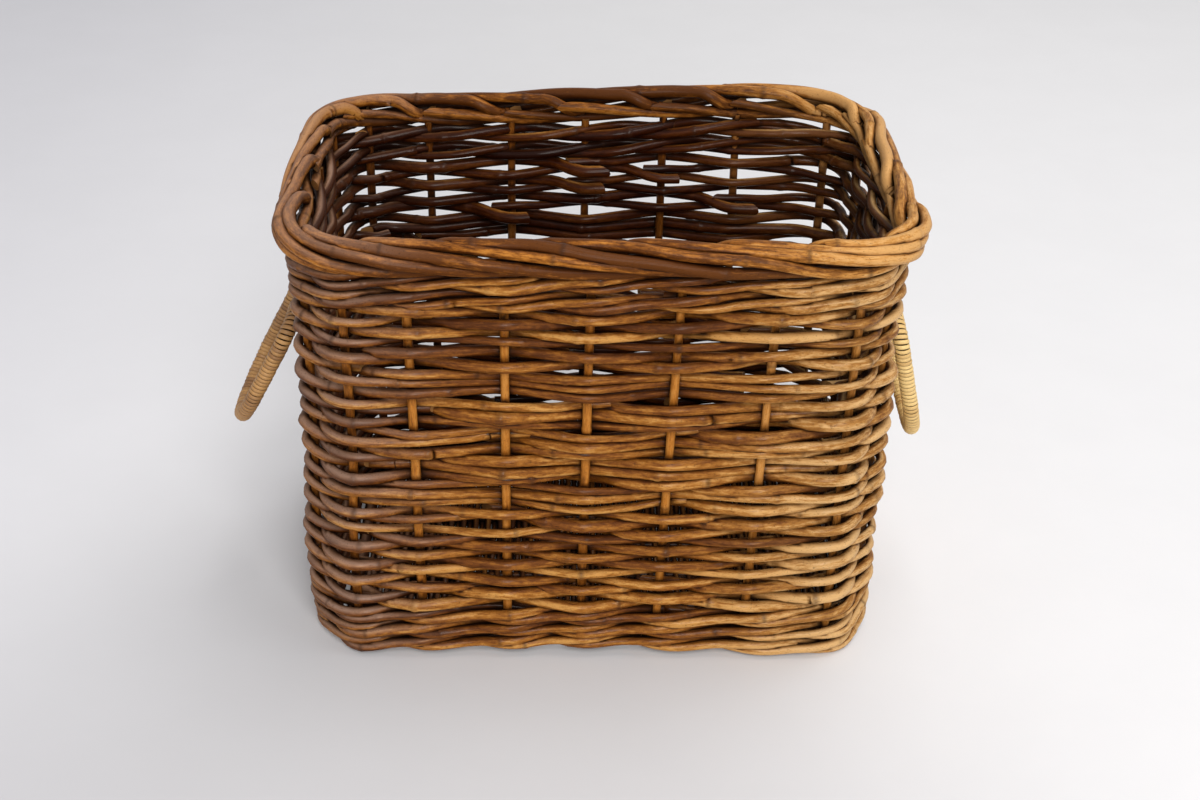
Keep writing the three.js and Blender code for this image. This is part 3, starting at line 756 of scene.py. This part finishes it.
def willow(
    name, tones, lightness=0.0, grey=1.0, inner_shade=1.0, dusty=0.0, lit_sides=0.0, contrast=1.0, coat=0.13
):
    """Peeled willow: mottled rods with dark rings at knots, grey patina and painted highlight on top,
    and painted shade and grime between them.

    The four weights after lightness say how strong the greying and painted highlight on top, the
    painted shade on the inner side, the even grime and the painted light on the short sides are.
    """
    finish = Finish(name)
    marks = ("along", "face", "flank", "rod", "knot", "patina", "crevice", "cut")
    along, face, flank, rod, knot, patina, crevice, cut = (finish.mark(mark) for mark in marks)
    _, to_right, _ = finish.place()
    upward = finish.part(finish.node("ShaderNodeNewGeometry").outputs["Normal"], 2)
    own = rod * ROD_SHIFT
    fibres = finish.grain(FIBRES, along, face, flank, own, 0.0)
    blotches = finish.grain(BLOTCHES, along, face, flank, own, 0.0)
    patches = finish.grain(PATCHES, along, face, flank, 0.0, own)
    specks = finish.grain(SPECKS, along, face, flank, 0.0, own)
    # Painted light: the border on the short sides is made lighter, for the light on the side rims.
    side_light_mask = to_right.maths("ABSOLUTE", to_right).between(*SIDE_BORDERS)
    mottle = (rod - 0.5) * 0.55 + (patches - 0.5) * 1.6 + (blotches - 0.5) * 1.4 + (fibres - 0.5) * 0.7
    # Tone rises towards the right: partly bleaching, partly painted light from the right.
    tone = mottle * contrast - (patina - 0.45) * 0.6 + to_right.between(*BLEACHED_AND_LIT) * 0.34
    tone = (tone + side_light_mask * lit_sides + (0.41 + lightness)).clamped()
    base = finish.ramp(tone, zip(TONE_PLACES, tones))
    # Painted light: paler and bluer towards the right, for the light and highlights there.
    base = finish.mix(to_right.between(*PALE_AND_LIT) * 0.6, base, finish.times(base, PALE_AND_LIT_TINT))
    # Mauve on upward faces, most on the left: partly grey dust, partly a painted highlight from above.
    greyed = to_right.between(*GREYED) * 0.85 + 0.03
    dust_and_sheen = upward.between(-0.2, 0.95) * greyed * (patches * 1.2 + 0.3) * grey
    base = finish.mix(dust_and_sheen.clamped(), base, colours().mauve)
    base = finish.mix(fibres.between(0.46, 0.30) * 0.6, base, finish.times(base, FIBRE_TINT))
    base = finish.mix(specks.between(0.58, 0.70) * 0.5, base, NEARLY_BLACK)
    # Painted shade: the inner sides of the rods darker, for the shade inside the basket.
    base = finish.mix(face.between(0.0, -0.6) * inner_shade, base, finish.times(base, INNER_SHADE_TINT))
    # Painted shade between the rods: darker where neighbouring rods hide a point, nearly black deep
    # between them; the base's even grime is added on top.
    base = finish.mix(crevice.between(0.0, 0.5) * 0.8, base, finish.times(base, CREVICE_SHADE_TINT))
    grime_and_shade = crevice.between(0.3, 0.85) * 0.95 + dusty
    base = finish.mix(grime_and_shade.clamped(), base, colours().dirt_and_shade)
    ring = (knot * (0.75 + fibres * 0.5)).clamped()
    base = finish.mix(ring * 0.8, base, NEARLY_BLACK)
    base = finish.mix(cut * 0.7, base, FRESH_CUT)
    roughness = (0.30 + fibres * 0.16 + dust_and_sheen * 0.2 + crevice * 0.3).clamped()
    height = fibres * 0.5 + blotches * 0.2 - ring * 0.5
    gloss = {"Specular IOR Level": 0.04, "Coat Weight": coat, "Coat Roughness": 0.16}
    return finish.shader(base, roughness, height, 0.8 * MM, **gloss)


LINE_TINT = (0.6, 0.5, 0.42)
CANE_SHADE_AND_GRIME = (0.12, 0.05, 0.016)
CANE_LINES = (20.0, 4.0, 2.5, 4.0, 0.6)


def cane(name, tone, old):
    """Split cane: a glossy pale skin with fine lines along the strip, and painted shade and grime at
    its edges.
    """
    finish = Finish(name)
    marks = ("along", "face", "flank", "rod", "patina", "crevice")
    along, face, flank, rod, patina, crevice = (finish.mark(mark) for mark in marks)
    lines = finish.grain(CANE_LINES, along, face, flank, 0.0, rod * 9.0)
    patches = finish.noise(finish.vector(along * 11.0, rod * 5.0, 0.0), 1.5, 2.0, 0.5)
    base = finish.mix((patina * 0.6 + patches.between(0.35, 0.75) * 0.5).clamped(), tone, old)
    base = finish.mix(lines.between(0.45, 0.25) * 0.5, base, finish.times(base, LINE_TINT))
    # Painted shade and grime: dark brown where neighbouring turns hide the strip.
    base = finish.mix((crevice.between(0.25, 0.8) * 0.85).clamped(), base, CANE_SHADE_AND_GRIME)
    roughness = 0.34 + lines * 0.18 + crevice * 0.2
    return finish.shader(base, roughness, lines, 0.3 * MM, **{"Specular IOR Level": 0.5})


FINISHES = {}


def blended(first, second, share):
    return tuple((1 - share) * a + share * b for a, b in zip(first, second))


# How much of the stakes' amber lies in the four tones of the stakes and of the border.
STAKE_AMBER = (0.30, 0.55, 0.75, 0.65)
BORDER_AMBER = (0.05, 0.22, 0.55, 0.45)


def finish_of(name):
    """One of the object's finishes, which are all made at the first call."""
    if not FINISHES:
        tones = colours()
        weaver = [tuple(tone) for tone in (tones.deep, tones.brown, tones.golden, tones.tan)]
        stake, border = (
            [blended(tone, tones.amber, share) for tone, share in zip(weaver, shares)]
            for shares in (STAKE_AMBER, BORDER_AMBER)
        )
        FINISHES["weaver"] = willow("weaver_willow", weaver, 0.03)
        FINISHES["stake"] = willow("stake_willow", stake, 0.0, 0.5, 0.7, contrast=1.5)
        FINISHES["border"] = willow(
            "border_willow", border, -0.33, 0.55, 0.3, lit_sides=0.5, contrast=1.45, coat=0.05
        )
        FINISHES["base"] = willow("base_willow", weaver, -0.1, 0.8, 0.9, 0.5)
        FINISHES["left_cane"] = cane("toffee_cane", tuple(tones.toffee), (0.20, 0.09, 0.03))
        FINISHES["right_cane"] = cane("straw_cane", tuple(tones.straw), (0.52, 0.31, 0.10))
    return FINISHES[name]


class BASKET_OT_stakes(bpy.types.Operator):
    """Makes the upright stakes"""

    bl_idname = "basket.stakes"
    bl_label = "Stakes"

    HIDDEN_TOP = 4 * MM
    BOW = 1.2 * MM
    THICKNESSES, TAPER = (0.97, 1.06), 0.1
    PATINAS = (0.1, 0.5)

    def execute(self, context):
        stakes = Stakes()
        for number, node in enumerate(STAKE_NODES):
            rng = np.random.default_rng(SEED + 100 + number)
            low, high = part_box(node)
            length = high.z + self.HIDDEN_TOP - low.z
            radius = sizes().stake_radius * rng.uniform(*self.THICKNESSES)
            rod = WovenRod(rng, 0, length, radius, self.TAPER)
            levels = low.z + rod.numbers
            bow = self.BOW * np.sin(math.pi * rod.numbers / length) * rng.uniform(-1, 1)
            points, outward = stakes.beside(np.full(len(levels), number), bow, levels)
            identity, patina = rng.random(), rng.uniform(*self.PATINAS)
            rods = Rods()
            rods.sweep(settle(points), rod.radius, outward, identity, rod.along, rod.knot, patina)
            rods.build(f"{node}_rod", "stake", "basket", node)
        return {"FINISHED"}


class BASKET_OT_courses(bpy.types.Operator):
    """Weaves the rows of the walls between the waling"""

    bl_idname = "basket.courses"
    bl_label = "Woven courses"

    KINDS = (("lower_weave", 2), ("middle_band", 3), ("upper_weave", 2))
    PASSES_BELOW = 3
    # Stakes of the short sides and corners, where the rods of a middle band part and weave singly.
    SINGLY = [0, 6, 7, 8, 9, 10, 11, 17, 18, 19, 20, 21]

    def execute(self, context):
        weaver = Weaver(Stakes())
        passes = self.PASSES_BELOW
        for kind, count in self.KINDS:
            together = kind == "middle_band"
            for node in nodes_with(kind):
                rng = np.random.default_rng(SEED + 200 + passes)
                low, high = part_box(node)
                rods = Rods()
                for k in range(count):
                    height = low.z + (high.z - low.z) * (k + 0.5) / count
                    sides = plain_sides(passes % 2)
                    if together and k == 1:
                        sides[self.SINGLY] *= -1
                    weaver.row(rods, rng, height, sides)
                    passes += not together
                passes += together
                rods.build(f"{node}_rods", "weaver", "basket", node)
        return {"FINISHED"}


class BASKET_OT_waling(bpy.types.Operator):
    """Twists the three-rod waling below and above the walls"""

    bl_idname = "basket.waling"
    bl_label = "Waling"

    def execute(self, context):
        weaver = Weaver(Stakes())
        for number, node in enumerate(nodes_with("_wale_")):
            rng = np.random.default_rng(SEED + 300 + number)
            rods = Rods()
            weaver.wale(rods, rng, middle_of(node).z)
            if number == 0:
                weaver.lining(rods, rng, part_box(node)[1].z)
            rods.build(f"{node}_rods", "weaver", "basket", node)
        return {"FINISHED"}


# A border strand's way round the border's middle: how many stakes it is past its own, its distance
# from that middle as a share of the border's radius, and its angle, with 90 on top and 0 outside.
STRAND_TURNS = (
    (0.00, 0.26, 225),
    (0.12, 0.42, 200),
    (0.26, 0.70, 160),
    (0.42, 0.92, 128),
    (0.75, 0.95, 107),
    (1.30, 0.87, 88),
    (2.00, 0.80, 56),
    (2.70, 0.76, 18),
    (3.40, 0.73, -24),
    (4.10, 0.72, -70),
    (4.80, 0.75, -116),
    (5.40, 0.80, -158),
    (6.00, 0.84, -188),
    (6.60, 0.86, -208),
)
# More places where a strand bends over from its stake.
STRAND_START = np.linspace(0, 0.6, 30)


class BASKET_OT_border(bpy.types.Operator):
    """Rolls the stakes' upper ends into the border"""

    bl_idname = "basket.border"
    bl_label = "Border"

    STRAND_LENGTHS = (5.5, 6.5)
    THICKNESSES, TAPER = (0.84, 1.08), 0.22
    # The border is cleaner than the walls, by this share of their patina.
    PATINA_SHARE = 0.8
    # Past this many stakes a strand lies looser, by a share of its distance and by degrees.
    TIGHT_UNTIL = 1
    LOOSENED, STRAYED, TURNED = (-0.12, 0.14), (-9, 9), (-10, 10)
    END_SLANT = -2.2

    def execute(self, context):
        stakes = Stakes()
        low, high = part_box("border")
        radius = half_height("border")
        offset = high.x - radius - HALF_WIDTH
        ages, shares, degrees = (np.array(column, float) for column in zip(*STRAND_TURNS))
        loose = ages > self.TIGHT_UNTIL
        pitch = stakes.line.length / STAKE_COUNT
        rods = Rods()
        for number in range(STAKE_COUNT):
            rng = np.random.default_rng(SEED + 400 + number)
            strand_radius = sizes().strand_radius * rng.uniform(*self.THICKNESSES)
            strand_length = rng.uniform(*self.STRAND_LENGTHS)
            rod = WovenRod(rng, 0, strand_length, strand_radius, self.TAPER, pitch, STRAND_START)
            loosened = 1 + loose * rng.uniform(*self.LOOSENED, len(ages))
            share = smooth_line(ages, shares * loosened, rod.numbers)
            turned = degrees + rng.uniform(*self.TURNED)
            strayed = turned + loose * rng.uniform(*self.STRAYED, len(ages))
            angle = np.radians(smooth_line(ages, strayed, rod.numbers))
            outwards = offset + radius * share * np.cos(angle)
            level = (high.z + low.z) / 2 + radius * share * np.sin(angle)
            points, outward = stakes.beside(number + rod.numbers, outwards, level)
            points = settle(points)
            identity, patina = rng.random(), patina_at(points, rng) * self.PATINA_SHARE
            rods.sweep(
                points, rod.radius, outward, identity, rod.along, rod.knot, patina, slant=self.END_SLANT
            )
        rods.build("border_strands", "border", "basket", "border")
        return {"FINISHED"}


class BASKET_OT_base(bpy.types.Operator):
    """Weaves the base on its hoop and sticks"""

    bl_idname = "basket.base"
    bl_label = "Base"

    STICK_BOW, STICK_TAPER = 0.8 * MM, 0.08
    HOOP_OVERLAP = 30 * MM
    ROD_RADIUS, ROD_THICKNESSES, ROD_TAPER = 2.6 * MM, (0.93, 1.03), 0.06
    # How far the floor's rods stop short of its edge, pass the outer sticks, and stay off the ground.
    EDGE_GAP, PAST_STICKS, GROUND_GAP = 1 * MM, 30 * MM, 0.3 * MM
    # How far they swing round the sticks, as a share of lying fully over and under.
    SWING = 0.62

    def execute(self, context):
        rng = np.random.default_rng(SEED + 500)
        self.hoop(rng)
        sticks = nodes_with("base_stick_")
        for node in sticks:
            low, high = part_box(node)
            centre = middle_of(node)
            rod = WovenRod(rng, low.x, high.x, half_height(node), self.STICK_TAPER)
            bow = self.STICK_BOW * np.sin(rod.numbers * rng.uniform(12, 20))
            path = np.column_stack([rod.numbers, centre.y + bow, np.full(len(bow), centre.z)])
            rods = Rods()
            rods.sweep(path, rod.radius, (0, 0, 1), rng.random(), rod.along, rod.knot, 0.5)
            rods.build(f"{node}_rod", "base", "basket", node)
        self.weave(rng, sticks)
        return {"FINISHED"}

    def hoop(self, rng):
        radius = half_height("base_hoop")
        inset = HALF_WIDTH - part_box("base_hoop")[1].x + radius
        line = WallLine(HALF_WIDTH - inset, HALF_DEPTH - inset, sizes().corner_radius - inset)
        rod = WovenRod(rng, 0, line.length + self.HOOP_OVERLAP, radius * 0.97, 0.0)
        point, normal = line.at(rod.numbers)
        share = rod.numbers / line.length
        level = radius + radius * 0.1 * np.sin(share * 9)
        taper = rod.radius * (1 - 0.5 * rise(share, 0.97, 1.02)) * (0.5 + 0.5 * rise(share, 0.0, 0.03))
        outward = np.column_stack([normal, np.zeros(len(normal))])
        rods = Rods()
        rods.sweep(
            np.column_stack([point, level]), taper, outward, rng.random(), rod.along, rod.knot, 0.55
        )
        rods.build("base_hoop_rod", "base", "basket", "base_hoop")

    def weave(self, rng, sticks):
        """Rods from the front to the back, over and under the sticks, packed side by side."""
        low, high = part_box("base_floor")
        corner = sizes().corner_radius - (HALF_WIDTH - high.x)
        lines = [middle_of(name).y for name in sticks]
        keys = [lines[0] - self.PAST_STICKS] + lines + [lines[-1] + self.PAST_STICKS]
        radius = self.ROD_RADIUS
        rods = Rods()
        count = int((high.x - low.x) / (2 * radius))
        for i in range(count):
            x = low.x + radius + i * (high.x - low.x - 2 * radius) / (count - 1)
            past = max(0.0, abs(x) + radius - (high.x - corner))
            reach = high.y - corner + math.sqrt(max(corner**2 - past**2, 0)) - self.EDGE_GAP
            rod_radius = radius * rng.uniform(*self.ROD_THICKNESSES)
            rod = WovenRod(rng, -reach, reach, rod_radius, self.ROD_TAPER)
            y = rod.numbers
            sides = [0] + [(-1) ** (k + i) for k in range(1, len(keys) - 1)] + [0]
            swing = smooth_line(keys, sides, np.clip(y, keys[0], keys[-1]))
            lift = np.minimum(half_height(sticks[0]) + rod.radius, high.z - low.z - rod.radius)
            level = (high.z + low.z) / 2 + swing * lift * self.SWING
            level = np.maximum(level, rod.radius + self.GROUND_GAP)
            path = np.column_stack([np.full(len(y), x), y, level])
            rods.sweep(
                path, rod.radius, (1, 0, 0), rng.random(), rod.along, rod.knot, rng.uniform(0.4, 0.9), 8
            )
        rods.build("base_floor_weave", "base", "basket", "base_floor")


class HandleHoop:
    """The bent hoop's middle line, from its box in the frame: a bar on top, two sides, a round bend."""

    CORNER = 20 * MM

    def __init__(self, side):
        self.sign = -1 if side == "left" else 1
        self.body = f"{side}_handle"
        self.pivot = PIVOT[self.body]
        low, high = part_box(f"{self.body}_hoop")
        low_wrap, high_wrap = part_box(f"{self.body}_binding")
        self.core = high.z - self.pivot.z
        self.half = (high.y - low.y) / 2 - self.core
        self.wrap_radius = (high_wrap.y - low_wrap.y) / 2 - self.half
        far = max(abs(low.x), abs(high.x)) - abs(self.pivot.x) - self.core
        down = self.pivot.z - low.z - self.core
        self.lean = math.atan2(far, down)
        self.drop = math.hypot(far, down)

    def line(self):
        """The open line in the hoop's plane and its outward normals, from the front end of the bar."""
        corner, bar, bend = self.CORNER, self.half - self.CORNER, self.drop - self.half
        arcs = (
            (-bar, -corner, corner, 90, 180, 9),
            (0, -bend, self.half, 180, 360, 40),
            (bar, -corner, corner, 0, 90, 9),
        )
        points, normals = [], []
        for y, z, radius, first, last, count in arcs:
            angle = np.radians(np.linspace(first, last, count))
            normal = np.stack([np.cos(angle), np.sin(angle)], -1)
            points.append(np.array([y, z]) + radius * normal)
            normals.append(normal)
        return np.concatenate(points), np.concatenate(normals)

    def at(self, share):
        """Points and outward normals at shares of the line, and its length."""
        points, normals = self.line()
        lengths = lengths_along(points)
        places = np.asarray(share) * lengths[-1]
        spots, outward = (
            np.stack([np.interp(places, lengths, column) for column in columns.T], -1)
            for columns in (points, normals)
        )
        return spots, outward, lengths[-1]

    def placed(self, points):
        """Points of the hanging hoop moved to where the handle rests."""
        return self.turned(points) + np.array(self.pivot)

    def turned(self, vectors):
        x, y, z = np.asarray(vectors, float).T
        out = x * math.cos(self.lean) - z * math.sin(self.lean)
        up = x * math.sin(self.lean) + z * math.cos(self.lean)
        return np.column_stack([self.sign * out, y, up])


class BASKET_OT_handles(bpy.types.Operator):
    """Bends the two handles and winds them with cane"""

    bl_idname = "basket.handles"
    bl_label = "Handles"

    BAR_STEPS = 12
    TURN_STEPS = 14
    # The strip's width as a share of its rise in one turn, and how far it stays inside the frame's.
    PACKING = 0.98
    MARGIN = 0.1 * MM
    # How the strip's turns stand out unevenly: a size, and a rate in radians a turn.
    UNEVEN = ((0.14 * MM, 2.7), (0.1 * MM, 7.1))

    def execute(self, context):
        for side in ("left", "right"):
            hoop = HandleHoop(side)
            self.core(hoop)
            self.wrap(hoop, f"{side}_cane")
        return {"FINISHED"}

    def core(self, hoop):
        points, _ = hoop.line()
        bar = np.linspace(points[-1], points[0], self.BAR_STEPS)[1:]
        line = np.concatenate([points, bar])
        path = hoop.placed(np.column_stack([np.zeros(len(line)), line]))
        outward = hoop.turned(np.broadcast_to((1.0, 0, 0), path.shape))
        rods = Rods()
        rods.sweep(path, hoop.core * 0.98, outward, 0.4, patina=0.4)
        rods.build(f"{hoop.body}_core", "stake", hoop.body, f"{hoop.body}_hoop")

    def wrap(self, hoop, finish):
        """A narrow cane strip wound round the hoop from one end of the bar to the other."""
        rng = np.random.default_rng(SEED + 601)
        width, thickness = sizes().cane_width, sizes().cane_thickness
        _, _, total = hoop.at([0])
        turns = total / (width * self.PACKING)
        share = np.linspace(0, 1, int(turns * self.TURN_STEPS))
        points, normal, _ = hoop.at(share)
        wobble = sum(size * np.sin(turns * share * rate) for size, rate in self.UNEVEN)
        radius = hoop.wrap_radius - thickness / 2 - self.MARGIN + wobble
        angle = TAU * turns * share
        outward = np.column_stack([np.sin(angle), normal * np.cos(angle)[:, None]])
        path = np.column_stack([np.zeros(len(share)), points]) + outward * radius[:, None]
        patina = 0.4 + 0.25 * np.sin(total * share * 90) + 0.3 * Waviness(rng, 3, 40)(share)
        rods = Rods()
        rods.sweep(
            hoop.placed(path), thickness / 2, hoop.turned(outward), 0.3, patina=np.clip(patina, 0, 1),
            sides=8, flat=width / thickness * 0.985,
        )
        rods.build(f"{hoop.body}_wrap", finish, hoop.body, f"{hoop.body}_binding")


class BASKET_OT_lashings(bpy.types.Operator):
    """Ties the handles' bars to the walls with cane"""

    bl_idname = "basket.lashings"
    bl_label = "Lashings"

    STRIPS = 2
    THICKNESS = 1.5 * MM
    STEPS = 80

    def execute(self, context):
        for side in ("left", "right"):
            for place in ("front", "back"):
                self.lashing(f"{side}_lashing_{place}", f"{side}_cane", abs(PIVOT[f"{side}_handle"].x))
        return {"FINISHED"}

    def lashing(self, node, finish, bar):
        """Strips from inside the wall round the handle's bar, which lies at a distance along X."""
        low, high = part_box(node)
        sign = -1 if high.x < 0 else 1
        thickness = self.THICKNESS
        inner = min(abs(low.x), abs(high.x)) + thickness / 2
        eye = max(abs(low.x), abs(high.x)) - thickness / 2 - bar
        half = half_height(node) - thickness / 2
        knee = bar - eye * 1.9
        between = inner + (knee - inner) * 0.5
        points = [(inner, -half), (between, -half), (knee, -half)]
        turn = np.radians(np.linspace(-75, 75, 15))
        points += [(bar + eye * math.cos(a), eye * math.sin(a)) for a in turn]
        points += [(knee, half), (between, half), (inner, half)]
        points += [(inner, half * 0.4), (inner, -half * 0.4), (inner, -half)]
        line = np.array(points)
        lengths = lengths_along(line)
        places = np.linspace(0, lengths[-1], self.STEPS)
        x, z = (np.interp(places, lengths, column) for column in line.T)
        width = (high.y - low.y) / self.STRIPS
        rods = Rods()
        for strip in range(self.STRIPS):
            y = low.y + width * (strip + 0.5)
            path = np.column_stack([sign * x, np.full(len(x), y), (high.z + low.z) / 2 + z])
            outward = np.cross(np.gradient(path, axis=0), (0, sign, 0))
            rods.sweep(
                path, thickness / 2, outward, 0.5 + 0.2 * strip, sides=8, flat=width / thickness * 0.97
            )
        rods.build(f"{node}_cane", finish, "basket", node)


# Crevice depth, for the painted shade and grime between the rods: how far it looks for rods, how far
# off the surface it starts, in how many directions, and the least that a direction has to face away
# from the surface. They stand outside the operator, because an operator's own values are slow to
# read for every ray.
CREVICE_REACH, CREVICE_START = 11 * MM, 0.25 * MM
CREVICE_RAYS, CREVICE_GRAZING = 28, 0.15


class BASKET_OT_crevice_shade(bpy.types.Operator):
    """Measures how deep each point lies between the rods, for the painted shade and grime there"""

    bl_idname = "basket.dirt"
    bl_label = "Shade and grime between rods"

    def execute(self, context):
        pieces = [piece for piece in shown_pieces() if piece.type == "MESH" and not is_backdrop(piece)]
        meshes = [piece.data for piece in pieces]
        points, faces = [], []
        for mesh in meshes:
            start = len(points)
            points += [vertex.co for vertex in mesh.vertices]
            faces += [[start + index for index in face.vertices] for face in mesh.polygons]
        tree = BVHTree.FromPolygons(points, faces)
        rays = self.directions()
        for mesh in meshes:
            values = [self.hidden(tree, vertex, rays) for vertex in mesh.vertices]
            mesh.attributes.new("crevice", "FLOAT", "POINT").data.foreach_set("value", values)
        return {"FINISHED"}

    def directions(self):
        """Directions spread evenly over a sphere."""
        golden = math.pi * (3 - math.sqrt(5))
        heights = [1 - (2 * i + 1) / CREVICE_RAYS for i in range(CREVICE_RAYS)]
        across = [math.sqrt(1 - height * height) for height in heights]
        return [
            Vector((wide * math.cos(golden * i), wide * math.sin(golden * i), height))
            for i, (wide, height) in enumerate(zip(across, heights))
        ]

    def hidden(self, tree, vertex, rays):
        """The share of the directions away from a point that meet a rod close by."""
        normal = vertex.normal
        origin = vertex.co + normal * CREVICE_START
        hits = total = 0
        for ray in rays:
            facing = ray.dot(normal)
            if facing > CREVICE_GRAZING:
                total += facing
                if tree.ray_cast(origin, ray, CREVICE_REACH)[0] is not None:
                    hits += facing
        return hits / total


class BASKET_OT_stage(bpy.types.Operator):
    """Lays the floor and sets the lights and the camera"""

    bl_idname = "basket.stage"
    bl_label = "Stage"

    FLOOR_REACH = 4.0
    FLOOR_POINTS = 24
    # What the floor's colour is multiplied by: in its mottling, and as painted shade near the camera
    # and at the far left.
    MOTTLED, NEAR, FAR_LEFT = (0.97, 0.97, 0.97), (0.74, 0.735, 0.74), (0.90, 0.90, 0.93)
    # Name, place, width in metres and power in watts.
    LAMPS = (
        ("window", (0.1, -4.6, 1.9), 1.8, 120),
        ("skylight", (0.7, -3.3, 3.4), 2.2, 110),
        ("overhead", (1.0, 0.5, 3.5), 2.8, 80),
    )
    LAMP_COLOUR = (1.0, 0.97, 0.93)
    LAMP_TARGET = Vector((0, 0, 0.15))
    WORLD_COLOUR, WORLD_STRENGTH = (1.0, 0.99, 0.98), 0.24

    def execute(self, context):
        scene = context.scene
        self.floor(scene)
        self.world(scene)
        for lamp in self.LAMPS:
            self.lamp(scene, *lamp)
        self.camera(scene)
        scene.view_settings.view_transform = "Standard"
        return {"FINISHED"}

    def floor(self, scene):
        count = self.FLOOR_POINTS
        places = np.linspace(-self.FLOOR_REACH, self.FLOOR_REACH, count)
        points = [(x, y, 0.0) for y in places for x in places]
        lows = [row * count + i for row in range(count - 1) for i in range(count - 1)]
        mesh = bpy.data.meshes.new("floor")
        mesh.from_pydata(points, [], [(low, low + 1, low + count + 1, low + count) for low in lows])
        finish = Finish("floor_paper")
        place, to_right, to_back = finish.place()
        mottle = finish.noise(place, 9.0, 4.0, 0.6)
        tone = colours().floor
        base = finish.mix(mottle.between(0.3, 0.7) * 0.5, tone, finish.times(tone, self.MOTTLED))
        # Painted shadow: the floor darker near the camera in front of the basket, and towards the far
        # left.
        near_shade = to_back.between(0.1, -0.45) * to_right.between(0.5, 0.0)
        base = finish.mix(near_shade.clamped(), base, finish.times(base, self.NEAR))
        base = finish.mix(to_right.between(0.1, -0.9), base, finish.times(base, self.FAR_LEFT))
        finish.shader(base, mottle * 0.1 + 0.75, mottle, 0.5 * MM, **{"Specular IOR Level": 0.2})
        mesh.materials.append(finish.material)
        floor = bpy.data.objects.new("floor", mesh)
        scene.collection.objects.link(floor)
        floor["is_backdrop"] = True

    def world(self, scene):
        """Weak light from all round, with a pale background where it is seen."""
        world = bpy.data.worlds.new("studio")
        nodes = Nodes(world)
        rays = nodes.node("ShaderNodeLightPath")
        kinds = ("Is Camera Ray", "Is Glossy Ray", "Is Transmission Ray")
        camera, glossy, through = (Value(nodes, rays.outputs[kind]) for kind in kinds)
        light, shown = (
            nodes.node("ShaderNodeBackground", None, {"Color": tone, "Strength": strength}).outputs[0]
            for tone, strength in ((self.WORLD_COLOUR, self.WORLD_STRENGTH), (colours().floor, 1.0))
        )
        seen = (camera + glossy + through).clamped()
        mixed = nodes.node("ShaderNodeMixShader", None, {0: seen, 1: light, 2: shown})
        nodes.node("ShaderNodeOutputWorld", None, {"Surface": mixed.outputs[0]})
        scene.world = world

    def lamp(self, scene, name, place, size, power):
        data = bpy.data.lights.new(name, "AREA")
        data.shape = "DISK"
        data.size = size
        data.energy = power
        data.color = self.LAMP_COLOUR
        lamp = bpy.data.objects.new(name, data)
        lamp.location = place
        lamp.rotation_mode = "QUATERNION"
        lamp.rotation_quaternion = (self.LAMP_TARGET - Vector(place)).to_track_quat("-Z", "Y")
        scene.collection.objects.link(lamp)

    def camera(self, scene):
        view = scene.basket_view
        level = Vector((math.sin(view.turn), math.cos(view.turn), 0))
        forward = level * math.cos(view.tilt) - Vector((0, 0, math.sin(view.tilt)))
        right = Vector((math.cos(view.turn), -math.sin(view.turn), 0))
        up = right.cross(forward)
        rolled_right = right * math.cos(view.roll) + up * math.sin(view.roll)
        rolled_up = up * math.cos(view.roll) - right * math.sin(view.roll)
        data = bpy.data.cameras.new("camera")
        data.lens = view.lens
        data.sensor_width = 36
        camera = bpy.data.objects.new("camera", data)
        turned = Matrix((rolled_right, rolled_up, -forward)).transposed().to_4x4()
        camera.matrix_world = Matrix.Translation(view.place) @ turned
        scene.collection.objects.link(camera)
        scene.camera = camera


OPERATORS = (
    BASKET_OT_stakes,
    BASKET_OT_courses,
    BASKET_OT_waling,
    BASKET_OT_border,
    BASKET_OT_base,
    BASKET_OT_handles,
    BASKET_OT_lashings,
    BASKET_OT_crevice_shade,
    BASKET_OT_stage,
)


class BASKET_PT_pieces(bpy.types.Panel):
    """Lists the basket's pieces"""

    bl_idname = "BASKET_PT_pieces"
    bl_label = "Wicker basket"
    bl_space_type = "VIEW_3D"
    bl_region_type = "UI"
    bl_category = "Basket"

    def draw(self, context):
        for operator in OPERATORS:
            self.layout.operator(operator.bl_idname)


GROUPS = {"basket_sizes": BasketSizes, "basket_colours": BasketColours, "basket_view": BasketView}
CLASSES = (*GROUPS.values(), *OPERATORS, BASKET_PT_pieces)


def register():
    for item in CLASSES:
        bpy.utils.register_class(item)
    for name, group in GROUPS.items():
        setattr(bpy.types.Scene, name, bpy.props.PointerProperty(type=group))


def unregister():
    for name in GROUPS:
        delattr(bpy.types.Scene, name)
    for item in reversed(CLASSES):
        bpy.utils.unregister_class(item)


def main():
    register()
    for operator in OPERATORS:
        group, name = operator.bl_idname.split(".")
        getattr(getattr(bpy.ops, group), name)()


if __name__ == "__main__":
    main()
